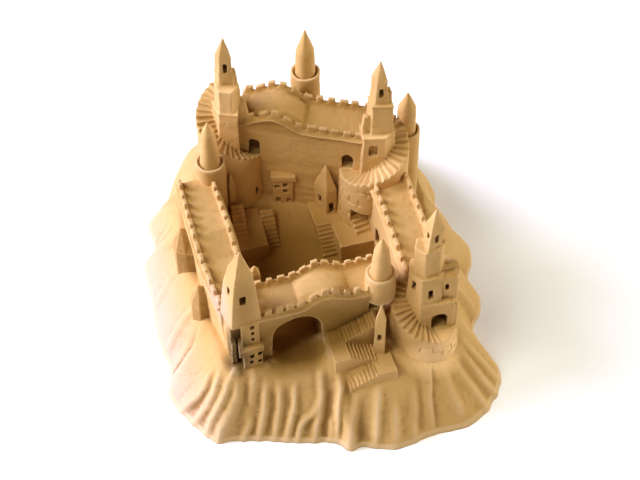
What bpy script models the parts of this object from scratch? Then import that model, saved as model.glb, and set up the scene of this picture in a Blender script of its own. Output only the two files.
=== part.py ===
"""A walled castle carved in damp sand on its own mound, modelled as one solid.

The frame has +Z up, with the gate looking along -Y. Lengths are metres. The mound,
the four walls, the towers, the stairs and the little houses are closed shapes that
run into each other, and Booleans make them one body.
"""

import math

import bmesh
import bpy
import numpy as np
from mathutils import Vector

# Levels
TERRACE = 0.080          # level ground outside the walls
YARD_FRONT = 0.062       # courtyard floor behind the gate
YARD_BACK = 0.101        # the same floor carried on to the back wall's middle
PLATFORM = 0.092         # raised part of the courtyard at the right
LEFT_PLATFORM = 0.095    # raised part of the courtyard at the left
FRONT_WALK = 0.163       # walkway of the front wall
SIDE_WALK = 0.176        # walkway of the side walls where they meet the back towers
BACK_WALK = 0.228        # walkway of the back wall
ROOT = 0.030             # where the shapes start, inside the mound

# Mound: plan outlines of its foot and of its shoulder, and the folds down its slope
FOOT_OUTLINE = [(-0.205, -0.234), (-0.127, -0.257), (-0.051, -0.292), (0.012, -0.304), (0.060, -0.303),
                (0.123, -0.281), (0.174, -0.244), (0.184, -0.147), (0.207, -0.019), (0.200, 0.062),
                (0.200, 0.112), (0.170, 0.190), (0.100, 0.248), (0.000, 0.282), (-0.110, 0.274),
                (-0.169, 0.197), (-0.216, 0.125), (-0.230, 0.024), (-0.240, -0.114), (-0.230, -0.180)]
SHOULDER_OUTLINE = [(-0.172, -0.182), (-0.112, -0.190), (-0.050, -0.204), (0.004, -0.228), (0.054, -0.230),
                    (0.092, -0.226), (0.120, -0.195), (0.134, -0.120), (0.146, -0.020), (0.156, 0.045),
                    (0.150, 0.100), (0.110, 0.150), (0.050, 0.180), (-0.020, 0.192), (-0.095, 0.182),
                    (-0.145, 0.135), (-0.176, 0.080), (-0.184, 0.010), (-0.181, -0.090), (-0.178, -0.150)]
MOUND_SPOKES = 160
MOUND_RINGS = 7
FOLD_DEPTH = 0.0045

# Walls: one face runs from start to end, and the wall is width thick to its left
PARAPET = 0.0050         # thickness of a parapet
PARAPET_RISE = 0.0035    # top of a parapet above its walkway
MERLON_RISE = 0.0070     # top of a merlon above its parapet
MERLON_SHARE = 0.72      # part of the pitch that a merlon fills
STRING_COURSE = 0.0012   # how far a parapet stands out from the face below it
PARAPET_DROP = 0.0030    # how far its underside is below the walkway
FRONT_WALL = dict(start=(-0.140, -0.1800), end=(0.036, -0.1780), width=0.0515)
BACK_WALL = dict(start=(-0.092, 0.0925), end=(0.078, 0.0030), width=0.0600)
LEFT_WALL = dict(start=(-0.1270, -0.150), end=(-0.1335, 0.070), width=0.0460)
RIGHT_WALL = dict(start=(0.1115, -0.168), end=(0.1130, -0.010), width=0.0490)
FRONT_HUMP = (0.097, 0.066, 0.0125)   # middle along the wall, length, rise
BACK_HUMP = (0.052, 0.080, 0.0180)
FRONT_PITCH = 0.0140
BACK_PITCH = 0.0160
SIDE_PITCH = 0.0175

# Gateway
GATE_MIDDLE = -0.0810
GATE_WIDTH = 0.0640
GATE_SPRING = 0.116
GATE_TOP = 0.146
GATE_FLOOR = 0.078

# Drums with winding steps; start is the bearing of the landing in degrees
DRUM_SIDES = 24
STEP_TURN = math.radians(11.5)
BACK_RIGHT = dict(middle=(0.078, 0.015), foot=0.050, landing=0.1700, radius=0.0455, rise=0.0034,
                  start=-178.0, sense=1, steps=20)
BACK_LEFT = dict(middle=(-0.096, 0.102), foot=0.045, landing=0.1700, radius=0.0425, rise=0.0045,
                 start=-24.0, sense=-1, steps=20)
FRONT_RIGHT = dict(middle=(0.082, -0.194), foot=0.050, landing=0.1010, radius=0.0430, rise=0.0040,
                   start=-62.0, sense=-1, steps=23)

# Square towers, from the foot up: height, plan middle, width along X, depth along Y
BACK_RIGHT_STOREYS = [(0.150, 0.0820, 0.0190, 0.0460, 0.0370), (0.244, 0.0810, 0.0185, 0.0420, 0.0350),
                      (0.258, 0.0845, 0.0180, 0.0300, 0.0290), (0.288, 0.0850, 0.0185, 0.0280, 0.0260),
                      (0.292, 0.0840, 0.0180, 0.0195, 0.0190), (0.330, 0.0845, 0.0190, 0.0150, 0.0150),
                      (0.362, 0.0840, 0.0195, 0.0, 0.0)]
BACK_LEFT_STOREYS = [(0.140, -0.0990, 0.1030, 0.0330, 0.0350), (0.243, -0.0980, 0.1020, 0.0285, 0.0330),
                     (0.255, -0.0980, 0.1030, 0.0275, 0.0310), (0.290, -0.0975, 0.1030, 0.0270, 0.0300),
                     (0.303, -0.0990, 0.1030, 0.0190, 0.0260), (0.350, -0.0978, 0.1000, 0.0135, 0.0180),
                     (0.374, -0.0970, 0.0990, 0.0, 0.0)]
FRONT_LEFT_STOREYS = [(0.156, -0.1490, -0.1660, 0.0400, 0.0330), (0.224, -0.1490, -0.1695, 0.0300, 0.0290),
                      (0.255, -0.1475, -0.1700, 0.0220, 0.0220), (0.292, -0.1470, -0.1710, 0.0, 0.0)]
# Six-sided tower at the front right: height, plan middle, radius
FRONT_RIGHT_STOREYS = [(0.090, 0.0840, -0.1820, 0.0300), (0.191, 0.0840, -0.1810, 0.0265),
                       (0.199, 0.0860, -0.1850, 0.0190), (0.243, 0.0860, -0.1855, 0.0178)]
FRONT_RIGHT_SPIRE = [(0.236, 0.0885, -0.1860, 0.0200, 0.0240), (0.274, 0.0885, -0.1885, 0.0180, 0.0190),
                     (0.313, 0.0880, -0.1880, 0.0, 0.0)]

# Round turrets: plan middle, foot, rim of the drum, drum radius, shaft radius at its foot
# and at its eaves, eaves, apex
BACK_RIGHT_TURRET = ((0.1300, 0.0400), 0.060, 0.203, 0.0188, 0.0130, 0.0122, 0.244, 0.272)
BACK_MIDDLE_TURRET = ((0.0180, 0.1340), 0.060, 0.252, 0.0195, 0.0135, 0.0122, 0.290, 0.325)
LEFT_TURRET = ((-0.1330, 0.0560), 0.060, 0.202, 0.0195, 0.0135, 0.0080, 0.258, 0.275)
FRONT_TURRET = ((0.0300, -0.1690), 0.136, 0.187, 0.0195, 0.0148, 0.0098, 0.230, 0.254)

# Flights: foot and head of the right-hand line, width, low and high level, steps
GATE_FLIGHTS = [((0.020, -0.1785), (-0.028, -0.1785), 0.0240, 0.126, 0.102, 11),
                ((0.010, -0.2022), (-0.029, -0.2022), 0.0250, 0.084, 0.101, 8),
                ((0.008, -0.2268), (-0.031, -0.2268), 0.0230, 0.084, 0.066, 8)]
YARD_FLIGHTS = [((0.0150, -0.033), (0.0150, 0.004), 0.0200, 0.063, PLATFORM, 8),
                ((-0.0550, 0.002), (-0.0550, 0.042), 0.0190, 0.068, 0.098, 8),
                ((-0.0980, 0.008), (-0.0980, 0.042), 0.0150, LEFT_PLATFORM, 0.122, 7)]

# Steps carved into the foot of the back right drum: span along X and Y, rise, head room
CARVED_STEPS = dict(x=(0.0390, 0.0640), y=(-0.0280, 0.0020), rise=0.0042, count=5, top=0.124)


def clear_scene():
    for thing in list(bpy.data.objects):
        bpy.data.objects.remove(thing, do_unlink=True)


def sand_material():
    sand = bpy.data.materials.new("packed_sand")
    sand.use_nodes = True
    shader = sand.node_tree.nodes["Principled BSDF"]
    shader.inputs["Base Color"].default_value = (0.56, 0.37, 0.19, 1.0)
    shader.inputs["Roughness"].default_value = 0.92
    shader.inputs["Metallic"].default_value = 0.0
    return sand


def make_object(name, vertices, faces, group):
    """Add a closed mesh, its faces turned outwards, as a guide that Booleans use."""
    mesh = bpy.data.meshes.new(name)
    mesh.from_pydata([tuple(map(float, v)) for v in vertices], [], faces)
    shape = bmesh.new()
    shape.from_mesh(mesh)
    bmesh.ops.remove_doubles(shape, verts=shape.verts, dist=1e-6)
    bmesh.ops.recalc_face_normals(shape, faces=shape.faces)
    if shape.calc_volume(signed=True) < 0:
        bmesh.ops.reverse_faces(shape, faces=shape.faces)
    shape.to_mesh(mesh)
    shape.free()
    piece = bpy.data.objects.new(name, mesh)
    group.objects.link(piece)
    piece.hide_render = True
    piece.display_type = 'WIRE'
    return piece


def loft(name, rings, group):
    """Skin closed rings of equal count; a ring of one point closes to an apex."""
    vertices = []
    faces = []
    starts = []
    for ring in rings:
        starts.append(len(vertices))
        vertices.extend(ring)
    for low, high, a, b in zip(rings, rings[1:], starts, starts[1:]):
        count = len(low)
        for i in range(count):
            j = (i + 1) % count
            if len(high) == 1:
                faces.append((a + i, a + j, b))
            else:
                faces.append((a + i, a + j, b + j, b + i))
    faces.append(tuple(reversed(range(len(rings[0])))))
    if len(rings[-1]) > 1:
        faces.append(tuple(starts[-1] + i for i in range(len(rings[-1]))))
    return make_object(name, vertices, faces, group)


def columns_solid(name, stations, tops, bottoms, near, far, group):
    """A solid of upright columns side by side, such as stairs or battlements.

    stations are the column boundaries and bottoms the underside at each; tops gives
    the height of each column at its two ends. near and far turn a station into a
    plan point of either face.
    """
    vertices = []
    index = {}
    faces = []

    def vertex(side, k, z):
        key = (side, k, round(z, 6))
        if key not in index:
            index[key] = len(vertices)
            x, y = (near, far)[side](stations[k])
            vertices.append((x, y, z))
        return index[key]

    last = len(tops) - 1
    for k, (top_a, top_b) in enumerate(tops):
        low_a = [tops[k - 1][1]] if k > 0 and tops[k - 1][1] < top_a - 1e-6 else []
        low_b = [tops[k + 1][0]] if k < last and tops[k + 1][0] < top_b - 1e-6 else []
        for side in (0, 1):
            loop = [vertex(side, k, bottoms[k]), vertex(side, k + 1, bottoms[k + 1])]
            loop += [vertex(side, k + 1, z) for z in low_b]
            loop += [vertex(side, k + 1, top_b), vertex(side, k, top_a)]
            loop += [vertex(side, k, z) for z in low_a]
            faces.append(tuple(loop if side == 0 else reversed(loop)))
        faces.append((vertex(0, k, top_a), vertex(0, k + 1, top_b), vertex(1, k + 1, top_b), vertex(1, k, top_a)))
        faces.append((vertex(0, k, bottoms[k]), vertex(1, k, bottoms[k]),
                      vertex(1, k + 1, bottoms[k + 1]), vertex(0, k + 1, bottoms[k + 1])))
        if k < last and abs(tops[k + 1][0] - top_b) > 1e-6:
            other = tops[k + 1][0]
            faces.append((vertex(0, k + 1, top_b), vertex(0, k + 1, other),
                          vertex(1, k + 1, other), vertex(1, k + 1, top_b)))
    for k, top in ((0, tops[0][0]), (last + 1, tops[-1][1])):
        faces.append((vertex(0, k, bottoms[k]), vertex(0, k, top), vertex(1, k, top), vertex(1, k, bottoms[k])))
    return make_object(name, vertices, faces, group)


def straight_line(start, end, offset):
    """A function from the distance along start-end to the plan point offset to its left."""
    start = Vector(start)
    along = (Vector(end) - start).normalized()
    left = Vector((-along.y, along.x))

    def place(s):
        point = start + along * s + left * offset
        return point.x, point.y
    return place


def ring_points(middle, radius, z, sides, turn=0.0):
    angles = [turn + 2 * math.pi * i / sides for i in range(sides)]
    return [(middle[0] + radius * math.cos(a), middle[1] + radius * math.sin(a), z) for a in angles]


def plan_quad(middle, width, depth, z, turn=0.0, skew=90.0):
    """Four corners whose sides run at turn and at turn + skew degrees."""
    a = math.radians(turn)
    b = math.radians(turn + skew)
    along = Vector((math.cos(a), math.sin(a))) * width / 2
    back = Vector((math.cos(b), math.sin(b))) * depth / 2
    corners = [Vector(middle) + along * i + back * j for i, j in ((-1, -1), (1, -1), (1, 1), (-1, 1))]
    return [(c.x, c.y, z) for c in corners]


def square_tower(name, storeys, group, turn=0.0, skew=90.0):
    rings = []
    for z, x, y, width, depth in storeys:
        rings.append([(x, y, z)] if width == 0.0 else plan_quad((x, y), width, depth, z, turn, skew))
    return loft(name, rings, group)


def block(name, middle, size, low, high, group, turn=0.0, slope=0.0):
    """An upright block; slope is how much narrower it is at the top."""
    rings = [plan_quad(middle, size[0], size[1], low, turn),
             plan_quad(middle, size[0] - slope, size[1] - slope, high, turn)]
    return loft(name, rings, group)


def slab(name, outline, low, high, group):
    return loft(name, [[(x, y, low) for x, y in outline], [(x, y, high) for x, y in outline]], group)


def spire_house(name, middle, size, low, eaves, apex, group, turn=0.0, skew=90.0, tip=(0.0, 0.0)):
    """A narrow house with an upright body and a pyramid roof."""
    rings = [plan_quad(middle, size[0] + 0.002, size[1] + 0.002, low, turn, skew),
             plan_quad(middle, size[0], size[1], eaves, turn, skew),
             [(middle[0] + tip[0], middle[1] + tip[1], apex)]]
    return loft(name, rings, group)


def opening(name, place, facing, width, low, high, depth, group, arched=False):
    """A window or door that goes depth deep into a face looking along facing."""
    a = math.radians(facing)
    out = Vector((math.cos(a), math.sin(a)))
    side = Vector((-out.y, out.x))
    half = width / 2
    shape = [(-half, low), (half, low)]
    if arched:
        spring = high - half
        shape += [(half * math.cos(math.pi * i / 6), spring + half * math.sin(math.pi * i / 6)) for i in range(7)]
    else:
        shape += [(half, high), (-half, high)]
    rings = []
    for reach in (-depth, 0.008):
        points = [(Vector(place) + side * s + out * reach, z) for s, z in shape]
        rings.append([(p.x, p.y, z) for p, z in points])
    return loft(name, rings, group)


def closed_curve(points, count):
    """Sample the smooth closed curve through the points at even steps of its parameter."""
    table = np.array(points)
    n = len(table)
    t = np.arange(count) * n / count
    i = np.floor(t).astype(int)
    u = (t - i)[:, None]
    p0, p1, p2, p3 = (table[(i + k) % n] for k in (-1, 0, 1, 2))
    return 0.5 * (2 * p1 + (p2 - p0) * u + (2 * p0 - 5 * p1 + 4 * p2 - p3) * u ** 2
                  + (3 * p1 - p0 - 3 * p2 + p3) * u ** 3)


def make_mound(group):
    """The mound: a flat top, a folded slope and a flat foot."""
    foot = closed_curve(FOOT_OUTLINE, MOUND_SPOKES)
    shoulder = closed_curve(SHOULDER_OUTLINE, MOUND_SPOKES)
    around = 2 * np.pi * np.arange(MOUND_SPOKES) / MOUND_SPOKES
    folds = (np.cos(31 * around + 1.6 * np.sin(4 * around)) + 0.6 * np.cos(19 * around + 1.0)
             + 0.4 * np.cos(11 * around + 2.1))
    outward = foot - shoulder
    outward /= np.linalg.norm(outward, axis=1)[:, None]
    rings = []
    for ring in range(MOUND_RINGS + 1):
        up = ring / MOUND_RINGS
        run = 1.0 - up
        depth = FOLD_DEPTH * (0.45 + 0.9 * math.sin(math.pi * up) * (1.0 - 0.4 * up)) * (1.0 - up ** 4)
        plan = shoulder + (foot - shoulder) * run + outward * (depth * folds)[:, None]
        rings.append([(x, y, TERRACE * (1.0 - run ** 1.5)) for x, y in plan])
    return loft("sandcastle", rings, group)


def dig_yard(group):
    """The courtyard: level behind the gate and rising towards the back wall."""
    slab("yard_front", [(-0.130, -0.132), (0.064, -0.132), (0.064, -0.030), (-0.130, -0.030)],
         YARD_FRONT, 0.2, group)
    back = [(-0.130, -0.031, YARD_FRONT), (0.064, -0.031, YARD_FRONT), (0.064, 0.090, YARD_BACK),
            (-0.130, 0.090, YARD_BACK)]
    loft("yard_back", [back, [(x, y, 0.2) for x, y, z in back]], group)


def hump_height(s, hump):
    if hump is None:
        return 0.0
    middle, length, rise = hump
    part = min(1.0, abs(s - middle) / (length / 2))
    return rise * 0.5 * (1 + math.cos(math.pi * part))


def make_wall(name, wall, walk, hump, pitch, group):
    """A wall with a walkway between two battlemented parapets.

    walk is a list of (station, height) of the walkway, and hump a rounded rise in it.
    """
    start = wall["start"]
    end = wall["end"]
    width = wall["width"]
    length = (Vector(end) - Vector(start)).length
    walk_s = [s for s, z in walk]
    walk_z = [z for s, z in walk]

    def level(s):
        return float(np.interp(s, walk_s, walk_z)) + hump_height(s, hump)

    stations = [0.0, length] + [s for s in walk_s if 0 < s < length]
    if hump:
        stations += [hump[0] + hump[1] * (k / 8 - 0.5) for k in range(9)]
    stations = sorted(s for s in set(stations) if 0 <= s <= length)
    tops = [(level(a), level(b)) for a, b in zip(stations, stations[1:])]
    columns_solid(name + "_body", stations, tops, [ROOT] * len(stations),
                  straight_line(start, end, 0.0), straight_line(start, end, width), group)

    count = round(length / pitch)
    pitch = length / count
    marks = [0.0]
    rises = []
    for k in range(count):
        middle = pitch * (k + 0.5)
        marks += [middle - 0.5 * MERLON_SHARE * pitch, middle + 0.5 * MERLON_SHARE * pitch]
        rises += [0.0, MERLON_RISE]
    marks.append(length)
    rises.append(0.0)
    tops = [(level(a) + PARAPET_RISE + rise, level(b) + PARAPET_RISE + rise)
            for a, b, rise in zip(marks, marks[1:], rises)]
    undersides = [level(s) - PARAPET_DROP for s in marks]
    for tag, near, far in (("near", -STRING_COURSE, PARAPET), ("far", width - PARAPET, width + STRING_COURSE)):
        columns_solid(name + "_parapet_" + tag, marks, tops, undersides,
                      straight_line(start, end, near), straight_line(start, end, far), group)


def make_stair_drum(name, tower, group):
    """A drum with winding steps that climb around it from a landing."""
    radius = tower["radius"]
    x, y = tower["middle"]
    sense = tower["sense"]
    loft(name + "_drum", [ring_points((x, y), radius + 0.006, tower["foot"], DRUM_SIDES),
                          ring_points((x, y), radius, tower["landing"], DRUM_SIDES)], group)

    def ring(reach):
        def place(s):
            angle = math.radians(tower["start"]) + sense * s
            return x + reach * math.cos(angle), y + reach * math.sin(angle)
        return place

    steps = tower["steps"]
    stations = [(k + 1.5) * STEP_TURN for k in range(steps + 1)]
    tops = [(tower["landing"] + k * tower["rise"],) * 2 for k in range(1, steps + 1)]
    columns_solid(name + "_steps", stations, tops, [tower["foot"] + 0.004] * len(stations),
                  ring(0.012), ring(radius + 0.0008), group)


def make_turret(name, turret, group):
    """A round turret with a conical roof that stands in a drum with a hollow rim."""
    middle, foot, rim, drum, shaft, neck, eaves, apex = turret
    profile = [(drum + 0.0015, foot), (drum, rim), (drum - 0.0038, rim), (drum - 0.0042, rim - 0.005),
               (shaft, rim - 0.005), (neck, eaves)]
    rings = [ring_points(middle, radius, z, 16) for radius, z in profile]
    loft(name, rings + [[(middle[0], middle[1], apex)]], group)


def make_flight(name, flight, group):
    start, end, width, low, high, count = flight
    length = (Vector(end) - Vector(start)).length
    stations = [length * k / count for k in range(count + 1)]
    if high > low:
        tops = [(low + (high - low) * (k + 1) / count,) * 2 for k in range(count)]
    else:
        tops = [(low + (high - low) * k / count,) * 2 for k in range(count)]
    columns_solid(name, stations, tops, [ROOT] * len(stations),
                  straight_line(start, end, 0.0), straight_line(start, end, width), group)


def make_towers(group):
    make_stair_drum("back_right", BACK_RIGHT, group)
    make_stair_drum("back_left", BACK_LEFT, group)
    make_stair_drum("front_right", FRONT_RIGHT, group)
    square_tower("back_right_tower", BACK_RIGHT_STOREYS, group)
    square_tower("back_left_tower", BACK_LEFT_STOREYS, group)
    square_tower("front_left_tower", FRONT_LEFT_STOREYS, group, 3.0, 99.0)
    loft("front_right_tower", [ring_points((x, y), radius, z, 6) for z, x, y, radius in FRONT_RIGHT_STOREYS], group)
    square_tower("front_right_spire", FRONT_RIGHT_SPIRE, group, 3.0, 86.0)
    block("back_right_stub", (0.0955, 0.0170), (0.0080, 0.0150), 0.280, 0.312, group, 0.0, 0.005)
    block("back_left_stub", (-0.0865, 0.0970), (0.0090, 0.0150), 0.280, 0.319, group, 0.0, 0.005)
    block("back_left_fin", (-0.0820, 0.0940), (0.0200, 0.0150), 0.236, 0.280, group, 0.0, 0.010)
    block("back_right_fin", (0.0660, 0.0120), (0.0210, 0.0140), 0.243, 0.276, group, 0.0, 0.012)
    rib = [0.0, 0.010, 0.020, 0.029]
    columns_solid("left_wall_rib", rib, [(0.168, 0.155), (0.155, 0.138), (0.138, 0.118)], [ROOT] * 4,
                  straight_line((-0.1665, -0.1460), (-0.1620, -0.1760), 0.0),
                  straight_line((-0.1665, -0.1460), (-0.1620, -0.1760), -0.0065), group)
    block("front_right_annex", (0.1010, -0.1965), (0.0300, 0.0350), 0.085, 0.150, group)
    block("front_right_annex_high", (0.1070, -0.1870), (0.0200, 0.0300), 0.085, 0.192, group, 0.0, 0.002)
    make_turret("back_right_turret", BACK_RIGHT_TURRET, group)
    make_turret("back_middle_turret", BACK_MIDDLE_TURRET, group)
    make_turret("left_turret", LEFT_TURRET, group)
    make_turret("front_turret", FRONT_TURRET, group)


def make_houses(group):
    spire_house("yard_house_right", (0.0180, 0.0280), (0.0120, 0.0260), ROOT, 0.136, 0.178, group, 5.0, 108.0)
    block("yard_gatehouse", (-0.0340, 0.0650), (0.0270, 0.0210), ROOT, 0.135, group, -14.0)
    block("yard_gatehouse_roof", (-0.0335, 0.0640), (0.0340, 0.0230), 0.1335, 0.1435, group, -14.0)
    spire_house("yard_house_left", (-0.1080, 0.0540), (0.0090, 0.0100), ROOT, 0.152, 0.176, group, 10.0)
    spire_house("gate_stair_house", (0.0172, -0.2135), (0.0130, 0.0090), ROOT, 0.148, 0.182, group, -24.0)
    spire_house("slope_house_back", (-0.1905, -0.0130), (0.0180, 0.0190), 0.050, 0.143, 0.168, group, 2.0)
    spire_house("slope_house_front", (-0.1870, -0.0900), (0.0160, 0.0180), 0.050, 0.128, 0.152, group, 2.0)
    spire_house("walk_house", (-0.1190, -0.1180), (0.0130, 0.0120), ROOT, 0.177, 0.190, group, 0.0)
    slab("gate_house", [(-0.1460, -0.1850), (-0.1310, -0.1850), (-0.1310, -0.1500), (-0.1650, -0.1500),
                        (-0.1560, -0.1740)], ROOT, 0.1625, group)
    slab("gate_house_ledge", [(-0.1560, -0.1940), (-0.1270, -0.1900), (-0.1270, -0.1600), (-0.1610, -0.1720)],
         0.110, 0.120, group)
    slab("gate_house_foot", [(-0.1500, -0.1915), (-0.1290, -0.1900), (-0.1290, -0.1550), (-0.1660, -0.1550),
                             (-0.1580, -0.1780)], ROOT, 0.111, group)


def make_stairs(group):
    for i, flight in enumerate(GATE_FLIGHTS):
        make_flight("gate_flight_%d" % (i + 1), flight, group)
    for i, flight in enumerate(YARD_FLIGHTS):
        make_flight("yard_flight_%d" % (i + 1), flight, group)
    block("gate_landing_left", (-0.0365, -0.2030), (0.0180, 0.0490), ROOT, 0.1015, group)
    block("gate_landing_right", (0.0190, -0.2260), (0.0240, 0.0470), ROOT, 0.0845, group)
    slab("platform", [(-0.0060, 0.0035), (0.0160, 0.0035), (0.0160, -0.0450), (0.0760, -0.0450),
                      (0.0760, 0.0400), (-0.0060, 0.0600)], ROOT, PLATFORM, group)
    slab("left_platform", [(-0.1320, -0.0160), (-0.0760, -0.0160), (-0.0730, 0.0500), (-0.1320, 0.0600)],
         ROOT, LEFT_PLATFORM, group)


def cut_gateway(group):
    half = GATE_WIDTH / 2
    shape = [(-half - 0.003, GATE_FLOOR), (half + 0.003, GATE_FLOOR), (half, GATE_SPRING)]
    for k in range(1, 10):
        t = math.pi * k / 10
        shape.append((half * math.cos(t), GATE_SPRING + (GATE_TOP - GATE_SPRING) * math.sin(t)))
    shape.append((-half, GATE_SPRING))
    loft("gateway", [[(GATE_MIDDLE + x, y, z) for x, z in shape] for y in (-0.196, -0.120)], group)


def carve_steps(group):
    """Steps cut into the drum, each as the room above one tread."""
    low_x, high_x = CARVED_STEPS["x"]
    front, back = CARVED_STEPS["y"]
    count = CARVED_STEPS["count"]
    for k in range(count):
        far = front + (back - front) * (k + 1) / count
        tread = PLATFORM + CARVED_STEPS["rise"] * k + 0.0002
        block("carved_step_%d" % (k + 1), ((low_x + high_x) / 2, (front + far) / 2),
              (high_x - low_x, far - front), tread, CARVED_STEPS["top"] + 0.0005 * k, group)


def cut_openings(group):
    """Doors, windows and arches; each is place, facing, width, low, high, depth."""
    doors = [((-0.0682, 0.0800), -117.8, 0.0150, 0.1715, 0.1990, 0.012),
             ((0.0435, 0.0212), -117.8, 0.0150, 0.1725, 0.1960, 0.010),
             ((0.0717, 0.0015), -90.0, 0.0110, 0.2100, 0.2290, 0.007),
             ((0.0990, -0.2140), -90.0, 0.0180, 0.1025, 0.1270, 0.014),
             ((0.0640, -0.0560), 180.0, 0.0180, 0.0935, 0.1240, 0.012),
             ((0.0200, -0.1785), -90.0, 0.0140, 0.1262, 0.1440, 0.010)]
    for i, (place, facing, width, low, high, depth) in enumerate(doors):
        opening("door_%d" % (i + 1), place, facing, width, low, high, depth, group, True)
    windows = [((0.0835, 0.0110), -90.0, 0.0052, 0.303, 0.316, 0.004),
               ((-0.0978, 0.0920), -90.0, 0.0055, 0.315, 0.329, 0.004),
               ((0.0640, -0.1970), -150.0, 0.0055, 0.168, 0.181, 0.005),
               ((0.0860, -0.2050), -90.0, 0.0065, 0.158, 0.172, 0.005),
               ((0.1060, -0.2020), -90.0, 0.0036, 0.166, 0.176, 0.004),
               ((0.0780, -0.1920), 177.0, 0.0055, 0.260, 0.272, 0.004),
               ((0.0910, -0.1985), -87.0, 0.0050, 0.254, 0.267, 0.004),
               ((-0.1490, -0.1840), -87.0, 0.0075, 0.204, 0.219, 0.005),
               ((-0.1660, -0.1720), -170.0, 0.0060, 0.214, 0.227, 0.004),
               ((0.0120, 0.0330), -160.0, 0.0060, 0.104, 0.118, 0.004),
               ((0.0150, -0.2180), -114.0, 0.0045, 0.112, 0.124, 0.004)]
    windows += [((-0.1400, -0.1850), -90.0, 0.0045, z, z + 0.0060, 0.004) for z in (0.127, 0.139, 0.151)]
    windows += [((x, -0.1910), -90.0, 0.0050, z, z + 0.0065, 0.004)
                for x, z in ((-0.1450, 0.094), (-0.1330, 0.098))]
    windows += [((-0.0313, 0.0535), -104.0, 0.0055, z, z + 0.0075, 0.004) for z in (0.116, 0.1035)]
    windows += [((-0.0424, 0.0562), -104.0, 0.0055, 0.0865, 0.0940, 0.004),
                ((-0.0275, 0.0525), -104.0, 0.0055, 0.0865, 0.0940, 0.004),
                ((-0.0700, 0.0660), -58.0, 0.0060, 0.1060, 0.1200, 0.004)]
    for i, (place, facing, width, low, high, depth) in enumerate(windows):
        opening("window_%d" % (i + 1), place, facing, width, low, high, depth, group)


def add_boolean(castle, name, operation, group):
    modifier = castle.modifiers.new(name, 'BOOLEAN')
    modifier.operation = operation
    modifier.solver = 'EXACT'
    modifier.operand_type = 'COLLECTION'
    modifier.collection = group


def centre_on_origin(castle):
    """Move everything so that the middle of the mound's foot is the origin."""
    points = np.array([v.co for v in castle.data.vertices])
    middle = (points.min(axis=0) + points.max(axis=0)) / 2
    for thing in bpy.data.objects:
        thing.location = (-middle[0], -middle[1], 0.0)


def main():
    clear_scene()
    root = bpy.context.scene.collection
    groups = {}
    for name in ("yard", "shapes", "hollows"):
        groups[name] = bpy.data.collections.new(name)
        root.children.link(groups[name])

    castle = make_mound(root)
    castle.hide_render = False
    castle.display_type = 'TEXTURED'
    castle.data.materials.append(sand_material())

    dig_yard(groups["yard"])
    shapes = groups["shapes"]
    make_wall("front_wall", FRONT_WALL, [(0.0, FRONT_WALK), (1.0, FRONT_WALK)], FRONT_HUMP, FRONT_PITCH, shapes)
    make_wall("back_wall", BACK_WALL, [(0.0, BACK_WALK), (1.0, BACK_WALK)], BACK_HUMP, BACK_PITCH, shapes)
    make_wall("left_wall", LEFT_WALL, [(0.0, FRONT_WALK), (0.094, FRONT_WALK), (0.102, SIDE_WALK),
                                       (1.0, SIDE_WALK)], None, SIDE_PITCH, shapes)
    make_wall("right_wall", RIGHT_WALL, [(0.0, FRONT_WALK), (0.090, SIDE_WALK), (1.0, SIDE_WALK)],
              None, SIDE_PITCH, shapes)
    make_towers(shapes)
    make_houses(shapes)
    make_stairs(shapes)
    cut_gateway(groups["hollows"])
    carve_steps(groups["hollows"])
    cut_openings(groups["hollows"])

    add_boolean(castle, "dig_yard", 'DIFFERENCE', groups["yard"])
    add_boolean(castle, "run_together", 'UNION', shapes)
    add_boolean(castle, "cut_openings", 'DIFFERENCE', groups["hollows"])
    centre_on_origin(castle)


main()
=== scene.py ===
import math

import bpy
import numpy as np
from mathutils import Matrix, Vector


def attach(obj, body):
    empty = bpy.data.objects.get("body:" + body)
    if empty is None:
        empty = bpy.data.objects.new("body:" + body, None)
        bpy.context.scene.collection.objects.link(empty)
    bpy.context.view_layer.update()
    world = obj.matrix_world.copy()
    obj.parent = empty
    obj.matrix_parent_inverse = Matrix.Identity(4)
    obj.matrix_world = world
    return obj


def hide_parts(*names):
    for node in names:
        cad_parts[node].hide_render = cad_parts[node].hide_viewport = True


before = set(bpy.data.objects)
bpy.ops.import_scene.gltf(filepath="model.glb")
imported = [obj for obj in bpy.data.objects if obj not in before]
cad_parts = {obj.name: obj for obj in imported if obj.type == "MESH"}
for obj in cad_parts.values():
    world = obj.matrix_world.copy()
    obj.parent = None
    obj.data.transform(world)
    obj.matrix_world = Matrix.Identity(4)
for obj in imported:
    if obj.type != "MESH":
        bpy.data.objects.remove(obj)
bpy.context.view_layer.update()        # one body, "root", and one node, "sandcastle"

print("frame loaded")

# Every place below is in the castle's own plan, with the front wall along X and the gate
# towards -Y. castle["shift"] carries that plan onto the frame, whose origin is the middle
# of the mound's foot. Lengths are metres.
castle = {
    "shift": (0.0162, 0.0102, 0.0),
    "terrace": 0.080,        # ground outside the walls
    "root": 0.056,           # where walls and towers start, inside the mound
    "platform": 0.092,
    "leftPlatform": 0.095,
}


def metres(table):                    # a table of millimetres, however deep, in metres
    return type(table)(metres(part) for part in table) if isinstance(table, (list, tuple)) else table / 1000


def addObject(name, data):            # an object of its own at the origin
    made = bpy.data.objects.new(name, data)
    bpy.context.scene.collection.objects.link(made)
    return made


# A shape is a pair: points (n, 3), and a list of face arrays, each (faces, corners).
def joinShapes(shapes):
    points, faces, start = [], [], 0
    for shapePoints, shapeFaces in shapes:
        points.append(shapePoints)
        faces += [block + start for block in shapeFaces]
        start += len(shapePoints)
    return np.vstack(points), faces


def gridFaces(rows, columns):        # quads of a grid whose rows close on themselves
    i = np.arange(rows - 1)[:, None] * columns
    j = np.arange(columns)[None, :]
    k = (j + 1) % columns
    return np.stack([i + j, i + k, i + columns + k, i + columns + j], axis=-1).reshape(-1, 4)


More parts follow.
